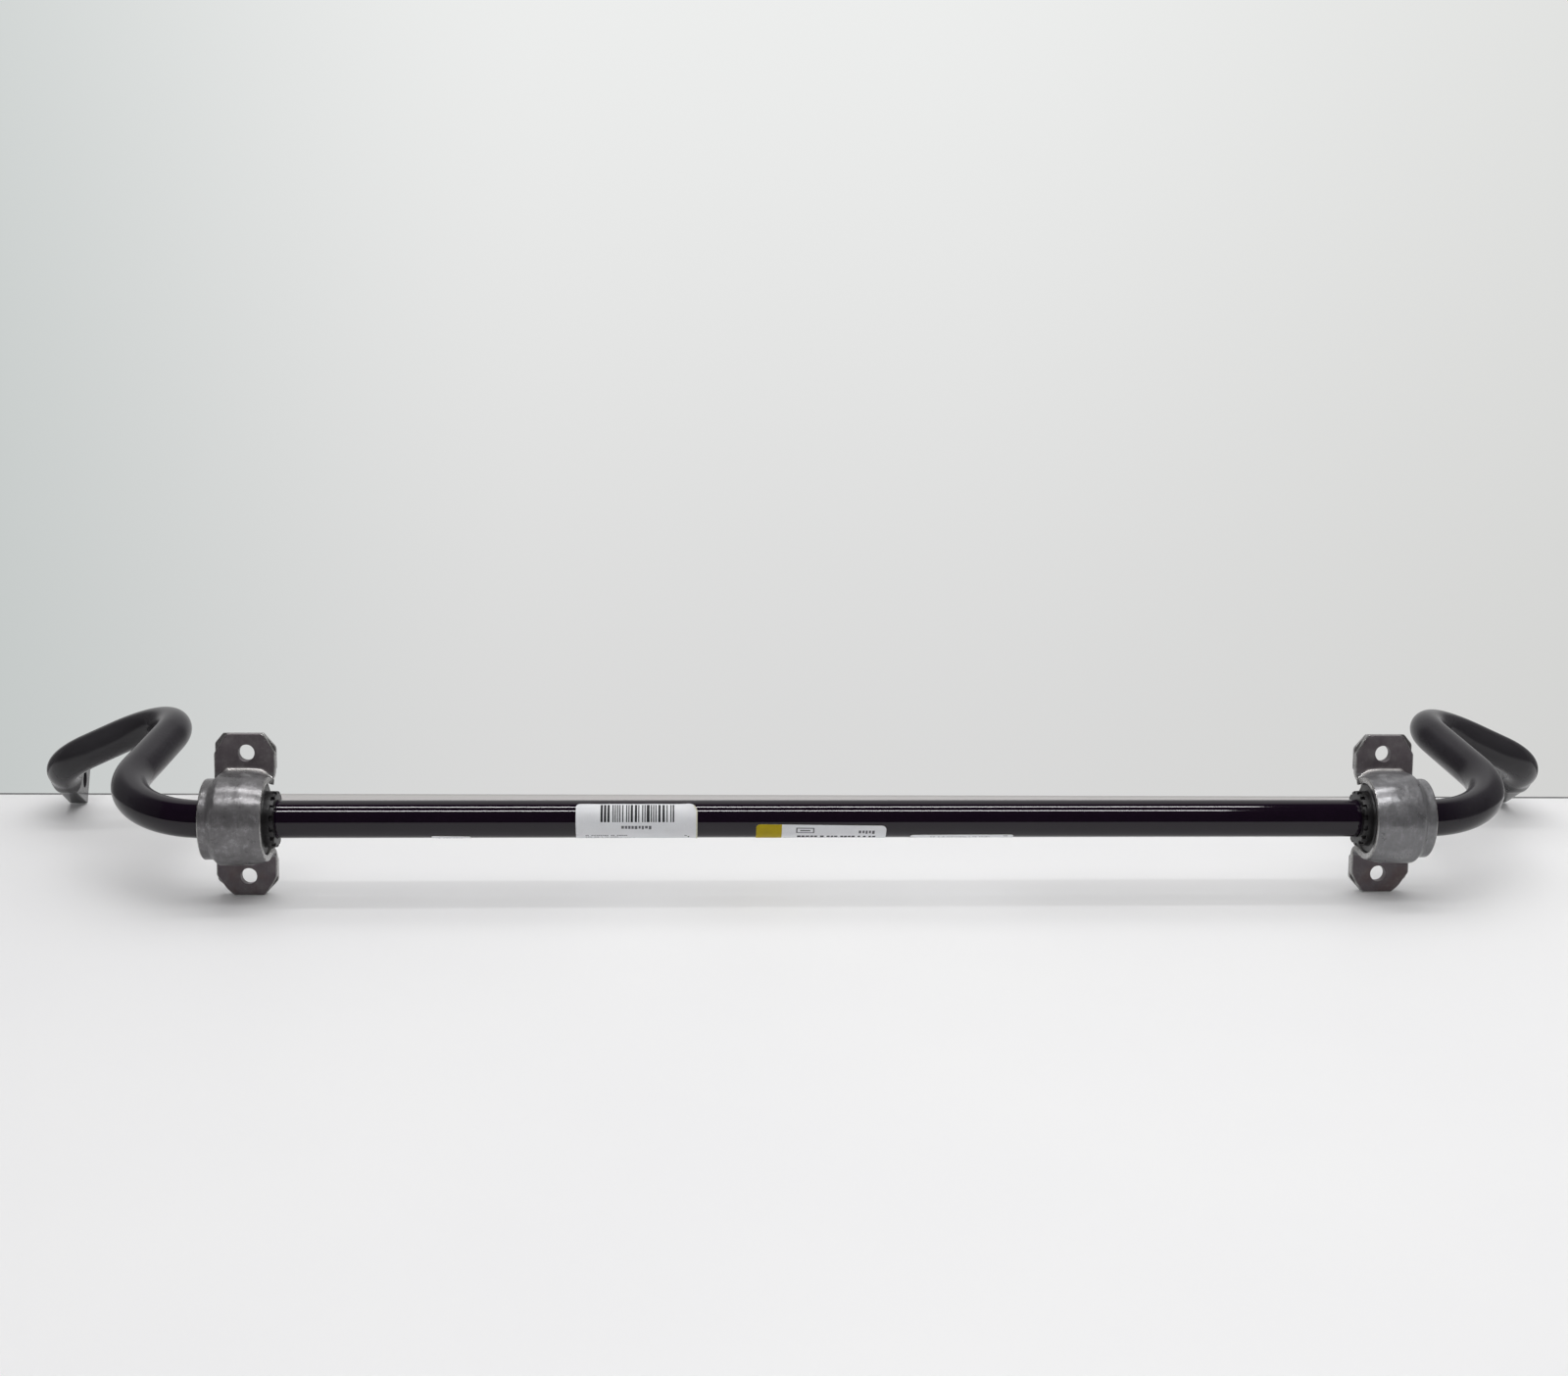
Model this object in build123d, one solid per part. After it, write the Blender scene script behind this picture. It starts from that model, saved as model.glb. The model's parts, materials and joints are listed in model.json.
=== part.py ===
from build123d import *
import math
import os

# Anti-roll (sway) bar with its two bonded-rubber bushes and two-layer clamp brackets.
# Row frame: +X along the bar, +Y towards the arms' ends, +Z up, millimetres.
# The bar stands as on a table: on the lower edges of both brackets and on both eyes.

# ---- driving dimensions -------------------------------------------------------------
BAR_D = 20.7            # round bar diameter
BAR_R = BAR_D / 2
AXIS_Z = 46.752          # height of the straight bar's axis over the table
AXIS_Y = -89.79         # where the bar's axis lies, so that Y = 0 is the middle of the depth

# arm route, relative to the bar's axis (x outboard, y rearwards, z up)
C1 = (396.96, 0.0, 0.0)          # first corner, on the axis
C2 = (371.07, 154.32, 31.07)     # top of the arm
C3 = (456.16, 136.86, -6.08)     # outboard corner
END_DIR = (0.1004, 0.8833, -0.4578)
LEG3 = 69.1                      # from the outboard corner to the end of the eye
BEND_R = (50.8, 36.5, 21.9)      # centre-line bend radii, first to last

EYE_T = 11.0            # forged eye: thickness
EYE_W = 26.4            # forged eye: width
EYE_RAISE = 2.483        # the eye's middle is this far above the bar's centre line
EYE_HOLE_D = 10.4
EYE_CORNER_R = 1.8      # rounding of the cut end's corners
EYE_HOLE_IN = 14.5      # hole centre from the eye's cut end
NECK_STRAIGHT = 2.0     # round length after the last bend
NECK_LEN = 16.0         # round to flat transition

# brackets
BRK_X = 318.07          # middle of the ears along X
TILT = 6.32             # brackets lean back by this many degrees at rest
EAR_HALF = 16.5         # half of the ears' width
EAR_V = 44.9            # ear tip above and below the bar's axis
HOLE_V = 34.4           # bolt hole above and below the bar's axis
HOLE_U = -0.95          # bolt hole offset along X, inboard
BOLT_D = 9.0
STRAP_T = 3.5           # front strap sheet
PLATE_T = 2.5           # rear plate sheet
EAR_N = 13.3            # front face of the ears behind the bar's axis
BAND_R = 25.2           # outer radius of the strap's band
COLLAR_R = 22.0         # outer radius of the outboard collar
U_IN, U_STEP0, U_STEP1, U_OUT = -15.5, 10.6, 13.6, 18.6
BEND_IN = 2.0           # inside radius where strap meets ear
DISH_R = 21.7           # rear plate's dish, inside radius

# bushes
RUN = 0.05              # radial clearance between bush bore and bar
BUSH_R = 21.6
BUSH_COLLAR_R = 18.4
LIP_R = 15.3
LIP_U = -20.3
BODY_U0, BODY_U1 = -13.4, 17.6

# stickers: x from, x to, top edge angle, bottom edge angle (0 faces -Y, + is up)
STICKER_R0, STICKER_R1 = BAR_R + 0.01, BAR_R + 0.21
STICKERS = {
    "barcode_sticker": (-136.2, -70.2, 62.0, -106.0),
    "part_sticker": (-38.1, 33.3, -6.5, -142.0),
    "lower_sticker": (46.9, 104.1, -48.0, -170.0),
    "small_sticker": (-214.5, -193.4, -47.5, -120.0),
}


def vsub(a, b):
    return tuple(p - q for p, q in zip(a, b))


def vadd(a, b, k=1.0):
    return tuple(p + k * q for p, q in zip(a, b))


def vlen(a):
    return math.sqrt(sum(p * p for p in a))


def unit(a):
    n = vlen(a)
    return tuple(p / n for p in a)


def cross(a, b):
    return (a[1] * b[2] - a[2] * b[1], a[2] * b[0] - a[0] * b[2], a[0] * b[1] - a[1] * b[0])


def dot(a, b):
    return sum(p * q for p, q in zip(a, b))


# ---- stabilizer bar --------------------------------------------------------------------
END = unit(END_DIR)
leg2 = unit(vsub(C3, C2))
turn3 = math.acos(dot(leg2, END))
TAN3 = BEND_R[2] * math.tan(turn3 / 2)
neck0 = TAN3 + NECK_STRAIGHT                       # distance from C3 where the neck begins
P_NECK = vadd(C3, END, neck0)
# the eye's frame on the right: across = towards the inboard face's far side, up = eye width
side = unit(vsub((1.0, 0.0, 0.0), tuple(END[0] * c for c in END)))
rise = cross(END, side)
if rise[2] < 0:
    rise = tuple(-c for c in rise)
print("right eye: across", [round(c, 5) for c in side], "rise", [round(c, 5) for c in rise])

pts_r = [C1, C2, C3, P_NECK]
pts_l = [(-p[0], p[1], p[2]) for p in reversed(pts_r)]
route = FilletPolyline(*(pts_l + pts_r), radius=[BEND_R[2], BEND_R[1], BEND_R[0], BEND_R[0], BEND_R[1], BEND_R[2]])
start_plane = Plane(origin=route @ 0, z_dir=route % 0)
rod = sweep(start_plane * Circle(BAR_R), path=route)
rod_len = route.length


def oval_face(s, half_w, half_t, n, raise_by):
    """Superellipse section of the forged end at s along the leg."""
    o = vadd(vadd(C3, END, s), rise, raise_by)
    pts = []
    for i in range(24):
        a = 2 * math.pi * i / 24
        c, d = math.cos(a), math.sin(a)
        r = (abs(c) ** n + abs(d) ** n) ** (-1.0 / n)
        pts.append(vadd(vadd(o, side, half_t * r * c), rise, half_w * r * d))
    return make_face(Wire([Spline(*pts, periodic=True)]))


p_b = vadd(vadd(C3, END, neck0 + NECK_LEN), rise, EYE_RAISE)
p_c = vadd(vadd(C3, END, LEG3), rise, EYE_RAISE)
SKIN = 0.1              # the neck's skin lies this far inside the rod and the eye where they meet
sections = []
for ds in (-1.5, 0.0, 3.2, 6.4, 9.6, 12.8, 16.0, 17.5):
    q = min(1.0, max(0.0, ds / NECK_LEN))
    q = q * q * (3 - 2 * q)
    sections.append(oval_face(neck0 + ds, BAR_R + (EYE_W / 2 - BAR_R) * q - SKIN,
                              BAR_R + (EYE_T / 2 - BAR_R) * q - SKIN, 2 + 4 * q, EYE_RAISE * q))
neck = loft(sections)
flat_len = LEG3 - neck0 - NECK_LEN
flat = extrude(Plane(origin=p_b, x_dir=side, z_dir=END) * RectangleRounded(EYE_T, EYE_W, 2.4), amount=flat_len, dir=END)
eye_hole_c = vadd(p_c, END, -EYE_HOLE_IN)
hole = Plane(origin=eye_hole_c, x_dir=END, z_dir=side) * Cylinder(EYE_HOLE_D / 2, 60)
right_end = (neck + flat) - hole
# round the cut end's two corners
corner_edges = right_end.edges().filter_by(lambda e: abs(e.length - EYE_T) < 6 and dot(unit(tuple(e % 0.5)), side) ** 2 > 0.98
                                           and dot(vsub(tuple(e @ 0.5), p_c), END) > -0.5)
print("eye corner edges", len(corner_edges))
right_end = fillet(corner_edges, EYE_CORNER_R)
left_end = mirror(right_end, about=Plane.YZ)
bar = rod + right_end + left_end
print("bar solids", len(bar.solids()), "volume", round(bar.volume), "rod check", round(math.pi * BAR_R ** 2 * rod_len))


# ---- brackets and bushes, built for the right side in (u, n, v) = (x, y, z) ---------------
def hat_face(u, ro):
    """Front strap's cross-section at u: ear, bend, side, half round, side, bend, ear."""
    ri = ro - STRAP_T
    nf, nb = EAR_N, EAR_N + STRAP_T
    cn = nf - BEND_IN
    cv = ro + BEND_IN
    bo = BEND_IN + STRAP_T
    k = math.sqrt(0.5)

    def P(n, v):
        return (u, n, v)
    e = [
        Line(P(nf, EAR_V), P(nf, cv)),
        ThreePointArc(P(nf, cv), P(cn + BEND_IN * k, cv - BEND_IN * k), P(cn, ro)),
        Line(P(cn, ro), P(0, ro)),
        ThreePointArc(P(0, ro), P(-ro, 0), P(0, -ro)),
        Line(P(0, -ro), P(cn, -ro)),
        ThreePointArc(P(cn, -ro), P(cn + BEND_IN * k, -cv + BEND_IN * k), P(nf, -cv)),
        Line(P(nf, -cv), P(nf, -EAR_V)),
        Line(P(nf, -EAR_V), P(nb, -EAR_V)),
        Line(P(nb, -EAR_V), P(nb, -cv)),
        ThreePointArc(P(nb, -cv), P(cn + bo * k, -cv + bo * k), P(cn, -ri)),
        Line(P(cn, -ri), P(0, -ri)),
        ThreePointArc(P(0, -ri), P(-ri, 0), P(0, ri)),
        Line(P(0, ri), P(cn, ri)),
        ThreePointArc(P(cn, ri), P(cn + bo * k, cv - bo * k), P(nb, cv)),
        Line(P(nb, cv), P(nb, EAR_V)),
        Line(P(nb, EAR_V), P(nf, EAR_V)),
    ]
    return make_face(Wire(e))


def outline_prism(chamf, n0, n1, mid):
    """Ear outline in (u, v), from n0 to n1. chamf: (u, v) cuts at top-in, top-out, bottom-out, bottom-in."""
    h, V = EAR_HALF, EAR_V
    (ti, tiv), (to, tov), (bo, bov), (bi, biv) = chamf
    p = [(-h + ti, V), (h - to, V), (h, V - tov), (h, -V + bov), (h - bo, -V), (-h + bi, -V), (-h, -V + biv)]
    if mid:
        m, hv = mid
        p += [(-h, -hv - 3), (-h + 1.2, -hv), (m, -hv), (m, hv), (-h + 1.2, hv), (-h, hv + 3)]
    p += [(-h, V - tiv)]
    w = Polyline(*[(a, n0, b) for a, b in p], close=True)
    return extrude(make_face(Wire(w.edges())), amount=n1 - n0, dir=(0, 1, 0))


def box(u0, u1, n0, n1, v0, v1):
    return Pos((u0 + u1) / 2, (n0 + n1) / 2, (v0 + v1) / 2) * Box(u1 - u0, n1 - n0, v1 - v0)


def bolt_holes():
    a = Pos(HOLE_U, EAR_N + 3, HOLE_V) * Rot(90, 0, 0) * Cylinder(BOLT_D / 2, 20)
    b = Pos(HOLE_U, EAR_N + 3, -HOLE_V) * Rot(90, 0, 0) * Cylinder(BOLT_D / 2, 20)
    return a, b


def make_strap():
    body = loft([hat_face(-EAR_HALF, BAND_R), hat_face(U_STEP0, BAND_R)], ruled=True)
    body += loft([hat_face(U_STEP0, BAND_R), hat_face(U_STEP1, COLLAR_R)], ruled=True)
    body += loft([hat_face(U_STEP1, COLLAR_R), hat_face(U_OUT, COLLAR_R)], ruled=True)
    # ears keep their outline; the wrap in front of them keeps its own width
    ears = outline_prism(((6.8, 7.8), (7.2, 7.8), (9.4, 7.9), (7.0, 7.6)), EAR_N - 3.0, EAR_N + STRAP_T + 1, None)
    wrap = box(U_IN, U_OUT, -40, EAR_N - 3.0, -60, 60)
    body = body & (ears + wrap)
    for h in bolt_holes():
        body -= h
    return body


def make_plate():
    nf, nb = EAR_N + STRAP_T, EAR_N + STRAP_T + PLATE_T
    r0, r1 = DISH_R, DISH_R + PLATE_T
    v0, v1 = math.sqrt(r0 ** 2 - nf ** 2), math.sqrt(r1 ** 2 - nb ** 2)
    u = -EAR_HALF
    e = [
        Line((u, nf, EAR_V), (u, nf, v0)), ThreePointArc((u, nf, v0), (u, r0, 0), (u, nf, -v0)),
        Line((u, nf, -v0), (u, nf, -EAR_V)), Line((u, nf, -EAR_V), (u, nb, -EAR_V)),
        Line((u, nb, -EAR_V), (u, nb, -v1)), ThreePointArc((u, nb, -v1), (u, r1, 0), (u, nb, v1)),
        Line((u, nb, v1), (u, nb, EAR_V)), Line((u, nb, EAR_V), (u, nf, EAR_V)),
    ]
    body = extrude(make_face(Wire(e)), amount=2 * EAR_HALF, dir=(1, 0, 0))
    body = body & outline_prism(((6.8, 7.8), (4.6, 5.4), (9.4, 7.9), (7.0, 7.6)), nf - 1, 30, (-11.2, 22.0))
    for h in bolt_holes():
        body -= h
    return body


def bush_face(u, r):
    n1 = 9.0
    n2, v2 = 16.5, 13.6
    rr = math.hypot(n2, v2)
    return make_face(Wire([
        ThreePointArc((u, 0, r), (u, -r, 0), (u, 0, -r)),
        Line((u, 0, -r), (u, n1, -r)), Line((u, n1, -r), (u, n2, -v2)),
        ThreePointArc((u, n2, -v2), (u, rr, 0), (u, n2, v2)),
        Line((u, n2, v2), (u, n1, r)), Line((u, n1, r), (u, 0, r)),
    ]))


def make_bush():
    body = loft([bush_face(BODY_U0, BUSH_R), bush_face(U_STEP0 - 1.6, BUSH_R)], ruled=True)
    body += loft([bush_face(U_STEP0 - 1.6, BUSH_R), bush_face(U_STEP1 - 1.6, BUSH_COLLAR_R)], ruled=True)
    body += loft([bush_face(U_STEP1 - 1.6, BUSH_COLLAR_R), bush_face(BODY_U1, BUSH_COLLAR_R)], ruled=True)
    lip_len = BODY_U0 - LIP_U
    lip = Pos((BODY_U0 + LIP_U) / 2 + 0.5, 0, 0) * Rot(0, 90, 0) * Cylinder(LIP_R, lip_len + 1.0)
    body += lip
    # castellated end: shallow slots across the lip's outer edge
    n_slot = 16
    for i in range(n_slot):
        a = 360.0 * (i + 0.5) / n_slot
        body -= Rot(a, 0, 0) * Pos(LIP_U + 0.9, 0, LIP_R) * Box(2.2, 2.6, 3.0)
    body -= Rot(0, 90, 0) * Cylinder(BAR_R + RUN, 120)
    return body


def place(shape, sgn):
    s = Pos(BRK_X, 0, 0) * Rot(-TILT, 0, 0) * shape
    if sgn < 0:
        s = mirror(s, about=Plane.YZ)
    return s


def sticker(x0, x1, a0, a1):
    """Thin curved sheet on the bar, from angle a1 (low) to a0 (high); 0 degrees faces -Y."""
    def ring(r, a):
        t = math.radians(a)
        return (x0, -r * math.cos(t), r * math.sin(t))
    m = (a0 + a1) / 2
    f = make_face(Wire([
        ThreePointArc(ring(STICKER_R0, a0), ring(STICKER_R0, m), ring(STICKER_R0, a1)),
        Line(ring(STICKER_R0, a1), ring(STICKER_R1, a1)),
        ThreePointArc(ring(STICKER_R1, a1), ring(STICKER_R1, m), ring(STICKER_R1, a0)),
        Line(ring(STICKER_R1, a0), ring(STICKER_R0, a0)),
    ]))
    return extrude(f, amount=x1 - x0, dir=(1, 0, 0))


parts = {"stabilizer_bar": bar}
strap, plate, bush = make_strap(), make_plate(), make_bush()
for tag, sgn in (("right", 1), ("left", -1)):
    parts["bracket_strap_" + tag] = place(strap, sgn)
    parts["bracket_plate_" + tag] = place(plate, sgn)
    parts["bush_" + tag] = place(bush, sgn)
for name, (x0, x1, a0, a1) in STICKERS.items():
    parts[name] = sticker(x0, x1, a0, a1)

os.makedirs("parts", exist_ok=True)
lo, hi = [1e9] * 3, [-1e9] * 3
for name, shape in parts.items():
    placed = Pos(0, AXIS_Y, AXIS_Z) * shape
    bb = placed.bounding_box()
    print(name, "z from", round(bb.min.Z, 3), "y", round(bb.min.Y, 3), round(bb.max.Y, 3))
    for i, (a, b) in enumerate(((bb.min.X, bb.max.X), (bb.min.Y, bb.max.Y), (bb.min.Z, bb.max.Z))):
        lo[i], hi[i] = min(lo[i], a), max(hi[i], b)
    sol = placed.solids()
    print(name, "solids", len(sol), "volume", round(placed.volume, 1), "valid", all(s.is_valid for s in sol))
    export_step(sol[0] if len(sol) == 1 else Compound(children=list(sol)), f"parts/{name}.step")
print("box", [round(v, 3) for v in lo], [round(v, 3) for v in hi])
print("eye hole centre", [round(v, 3) for v in vadd(eye_hole_c, (0, AXIS_Y, AXIS_Z))], "axis", [round(c, 5) for c in side])
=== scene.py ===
import json
import math
import random

import bpy
import numpy as np
from mathutils import Matrix, Vector, noise

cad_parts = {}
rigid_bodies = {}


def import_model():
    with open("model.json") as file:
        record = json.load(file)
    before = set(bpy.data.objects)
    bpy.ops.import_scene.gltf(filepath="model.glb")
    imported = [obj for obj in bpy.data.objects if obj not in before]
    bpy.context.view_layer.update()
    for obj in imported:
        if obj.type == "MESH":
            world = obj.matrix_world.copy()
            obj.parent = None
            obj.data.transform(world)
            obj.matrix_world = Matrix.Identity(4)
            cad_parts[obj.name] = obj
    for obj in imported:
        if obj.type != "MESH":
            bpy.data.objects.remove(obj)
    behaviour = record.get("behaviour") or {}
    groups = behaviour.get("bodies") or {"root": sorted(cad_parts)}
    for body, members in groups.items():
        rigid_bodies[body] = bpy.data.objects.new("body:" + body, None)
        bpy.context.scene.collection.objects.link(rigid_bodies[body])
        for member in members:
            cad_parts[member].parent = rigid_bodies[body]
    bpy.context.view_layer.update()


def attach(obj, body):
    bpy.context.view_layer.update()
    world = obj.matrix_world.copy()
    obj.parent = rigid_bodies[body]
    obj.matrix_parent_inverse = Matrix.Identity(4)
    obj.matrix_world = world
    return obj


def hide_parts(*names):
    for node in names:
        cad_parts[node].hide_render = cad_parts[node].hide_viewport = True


for _o in list(bpy.data.objects):
    bpy.data.objects.remove(_o, do_unlink=True)
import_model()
scene = bpy.context.scene
MM = 0.001

# ---- camera at the reference angle ----------------------------------------------------------
cam_data = bpy.data.cameras.new("camera")
cam_data.sensor_fit = "HORIZONTAL"
cam_data.sensor_width = 36.0
cam_data.lens = 45.447
cam_data.clip_start, cam_data.clip_end = 0.01, 60.0
cam = bpy.data.objects.new("camera", cam_data)
scene.collection.objects.link(cam)
_r = Vector((0.99855605, -0.05174084, 0.01444613))
_u = Vector((-0.00264745, 0.22119140, 0.97522682))
_f = Vector((0.05365442, 0.97385689, -0.22073503))
cam.matrix_world = Matrix((
    (_r.x, _u.x, -_f.x, -0.08112),
    (_r.y, _u.y, -_f.y, -1.13602),
    (_r.z, _u.z, -_f.z, 0.35771),
    (0, 0, 0, 1)))
scene.camera = cam

# ---- the object's dimensions (millimetres, the same as the CAD's) ----------------------------
BAR_R = 10.35
AXIS_Y, AXIS_Z = -89.79, 46.752
C1 = np.array((396.96, 0.0, 0.0))
C2 = np.array((371.07, 154.32, 31.07))
C3 = np.array((456.16, 136.86, -6.08))
END = np.array((0.1004, 0.8833, -0.4578)); END = END / np.linalg.norm(END)
LEG3 = 69.1
BEND_R = (50.8, 36.5, 21.9)
EYE_T, EYE_W, EYE_RAISE, EYE_HOLE_D, EYE_HOLE_IN = 11.0, 26.4, 2.483, 10.4, 14.5
NECK_STRAIGHT, NECK_LEN = 2.0, 16.0
BRK_X, TILT = 318.07, 6.32
EAR_HALF, EAR_V, HOLE_V, HOLE_U, BOLT_D = 16.5, 44.9, 34.4, -0.95, 9.0
STRAP_T, PLATE_T, EAR_N, BAND_R, COLLAR_R = 3.5, 2.5, 13.3, 25.2, 22.0
U_IN, U_STEP0, U_STEP1, U_OUT = -15.5, 10.6, 13.6, 18.6
DISH_R = 21.7
BUSH_R, BUSH_COLLAR_R, LIP_R, LIP_U = 21.6, 18.4, 15.3, -20.3
BODY_U0, BODY_U1 = -13.4, 17.6
ORIGIN = np.array((0.0, AXIS_Y, AXIS_Z))


def smooth(t):
    t = np.clip(t, 0.0, 1.0)
    return t * t * (3 - 2 * t)


def unit(v):
    return v / np.linalg.norm(v)


# ---- small node helpers -----------------------------------------------------------------------
class Nodes:
    def __init__(self, name):
        self.mat = bpy.data.materials.new(name)
        self.mat.use_nodes = True
        self.nt = self.mat.node_tree
        self.nt.nodes.clear()
        self.out = self.nt.nodes.new("ShaderNodeOutputMaterial")
        self.bsdf = self.nt.nodes.new("ShaderNodeBsdfPrincipled")
        self.link(self.bsdf.outputs["BSDF"], self.out.inputs["Surface"])

    def link(self, a, b):
        self.nt.links.new(a, b)

    def node(self, kind, **kw):
        n = self.nt.nodes.new(kind)
        for k, v in kw.items():
            setattr(n, k, v)
        return n

    def coords(self):
        return self.node("ShaderNodeTexCoord").outputs["Object"]

    def mapped(self, vec, loc=(0, 0, 0), rot=(0, 0, 0), scale=(1, 1, 1)):
        m = self.node("ShaderNodeMapping")
        self.link(vec, m.inputs["Vector"])
        m.inputs["Location"].default_value = loc
        m.inputs["Rotation"].default_value = rot
        m.inputs["Scale"].default_value = scale
        return m.outputs["Vector"]

    def noise(self, vec, scale, detail=3.0, rough=0.55, distortion=0.0):
        n = self.node("ShaderNodeTexNoise")
        self.link(vec, n.inputs["Vector"])
        n.inputs["Scale"].default_value = scale
        n.inputs["Detail"].default_value = detail
        n.inputs["Roughness"].default_value = rough
        n.inputs["Distortion"].default_value = distortion
        return n.outputs["Fac"]

    def voronoi(self, vec, scale, feature="F1"):
        n = self.node("ShaderNodeTexVoronoi", feature=feature)
        self.link(vec, n.inputs["Vector"])
        n.inputs["Scale"].default_value = scale
        return n.outputs["Distance"]

    def xyz(self, vec):
        s = self.node("ShaderNodeSeparateXYZ")
        self.link(vec, s.inputs[0])
        return s.outputs

    def math(self, op, a, b=None, c=None, clamp=False):
        n = self.node("ShaderNodeMath", operation=op, use_clamp=clamp)
        for i, v in enumerate((a, b, c)):
            if v is None:
                continue
            if isinstance(v, (int, float)):
                n.inputs[i].default_value = v
            else:
                self.link(v, n.inputs[i])
        return n.outputs[0]

    def remap(self, v, a, b, c=0.0, d=1.0, smoothstep=True):
        n = self.node("ShaderNodeMapRange", interpolation_type="SMOOTHSTEP" if smoothstep else "LINEAR")
        self.link(v, n.inputs["Value"])
        n.inputs["From Min"].default_value, n.inputs["From Max"].default_value = a, b
        n.inputs["To Min"].default_value, n.inputs["To Max"].default_value = c, d
        return n.outputs["Result"]

    def ramp(self, v, *stops):
        n = self.node("ShaderNodeValToRGB")
        e = n.color_ramp.elements
        while len(e) > 1:
            e.remove(e[-1])
        e[0].position, e[0].color = stops[0][0], (*stops[0][1], 1)
        for p, c in stops[1:]:
            x = e.new(p)
            x.color = (*c, 1)
        self.link(v, n.inputs["Fac"])
        return n.outputs["Color"]

    def mix(self, fac, a, b, blend="MIX"):
        n = self.node("ShaderNodeMix", data_type="RGBA", blend_type=blend)
        for sock, v in ((n.inputs[0], fac), (n.inputs[6], a), (n.inputs[7], b)):
            if isinstance(v, (int, float)):
                sock.default_value = v
            elif isinstance(v, tuple):
                sock.default_value = (*v, 1)
            else:
                self.link(v, sock)
        return n.outputs[2]

    def bump(self, height, distance, strength=1.0, normal=None):
        b = self.node("ShaderNodeBump")
        b.inputs["Strength"].default_value = strength
        b.inputs["Distance"].default_value = distance
        self.link(height, b.inputs["Height"])
        if normal is not None:
            self.link(normal, b.inputs["Normal"])
        return b.outputs["Normal"]

    def set(self, **kw):
        for k, v in kw.items():
            s = self.bsdf.inputs[k.replace("_", " ")]
            if isinstance(v, (int, float)):
                s.default_value = v
            elif isinstance(v, tuple):
                s.default_value = (*v, 1) if len(v) == 3 else v
            else:
                self.link(v, s)


# ---- materials ----------------------------------------------------------------------------------
def arm_paint():
    """The same paint where it lies satin: the bent arms, with a fine powder grain and handling scuffs."""
    m = Nodes("arm_paint")
    p = m.coords()
    grain = m.noise(p, 2600, 3, 0.6)
    peel = m.noise(p, 420, 2, 0.4)
    cloud = m.noise(p, 38, 4, 0.6)
    scuff = m.remap(m.noise(m.mapped(p, scale=(1, 3, 3)), 70, 5, 0.7), 0.58, 0.74)
    col = m.ramp(cloud, (0.30, (0.0150, 0.0128, 0.0164)), (0.72, (0.0218, 0.0194, 0.0238)))
    # Painted light: the arms' outboard parts get a lighter colour to make up for the little light that reaches them.
    far = m.remap(m.math("ABSOLUTE", m.xyz(p)[0]), 0.385, 0.412)
    col = m.mix(m.math("MULTIPLY", far, 0.5), col, (0.038, 0.037, 0.039))
    col = m.mix(m.math("MULTIPLY", scuff, 0.20), col, (0.055, 0.053, 0.053))
    rough = m.math("ADD", 0.12, m.math("MULTIPLY", cloud, 0.15))
    x = m.xyz(p)[0]
    near = m.math("MINIMUM", m.remap(x, 0.366, 0.340), m.remap(x, -0.385, -0.357))
    near = m.math("MULTIPLY", near, m.remap(m.xyz(p)[1], -0.06, -0.075))
    rough = m.math("MULTIPLY", rough, m.math("SUBTRACT", 1.0, m.math("MULTIPLY", near, 0.66)))
    col = m.mix(m.math("MULTIPLY", near, 0.9), col, (0.0062, 0.0032, 0.0078))
    h = m.math("ADD", m.math("MULTIPLY", peel, 0.7), m.math("MULTIPLY", grain, 0.9))
    n = m.bump(h, 0.000012, 1.0)
    m.set(Base_Color=col, Roughness=rough, Normal=n, IOR=1.46)
    m.link(m.math("ADD", 0.40, m.math("MULTIPLY", near, 0.10)), m.bsdf.inputs["Specular IOR Level"])
    return m.mat


def bar_paint():
    """Black gloss paint on the straight run: deep and smooth, with faint orange peel, settled dust and fine rubs."""
    m = Nodes("bar_paint")
    p = m.coords()
    peel = m.noise(p, 420, 2, 0.4)
    scuff = m.remap(m.noise(m.mapped(p, scale=(1, 9, 9)), 70, 5, 0.7), 0.60, 0.74)
    dust = m.remap(m.noise(p, 1500, 2, 0.5), 0.70, 0.80)
    cloud = m.noise(p, 60, 3, 0.6)
    col = m.ramp(cloud, (0.35, (0.0050, 0.0014, 0.0066)), (0.65, (0.0060, 0.0021, 0.0074)))
    col = m.mix(m.math("MULTIPLY", dust, 0.25), col, (0.03, 0.028, 0.03))
    rough = m.math("ADD", 0.05, m.math("MULTIPLY", m.math("ADD", m.math("MULTIPLY", dust, 0.5), scuff), 0.05))
    h = m.math("ADD", m.math("MULTIPLY", peel, 0.16), m.math("MULTIPLY", dust, 0.10))
    m.set(Base_Color=col, Roughness=rough, Normal=m.bump(h, 0.000012, 1.0), IOR=1.46)
    return m.mat


def bracket_coords(m, side):
    """Object space turned into the bracket's own frame: u outboard, n backwards, v up, in metres."""
    t = math.radians(TILT)
    rot = Matrix.Rotation(t, 3, "X")
    o = Vector((BRK_X * MM, AXIS_Y * MM, AXIS_Z * MM))
    loc = -(rot @ o)
    return m.mapped(m.coords(), loc=tuple(loc), rot=(t, 0, 0), scale=(side, 1, 1))


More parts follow.
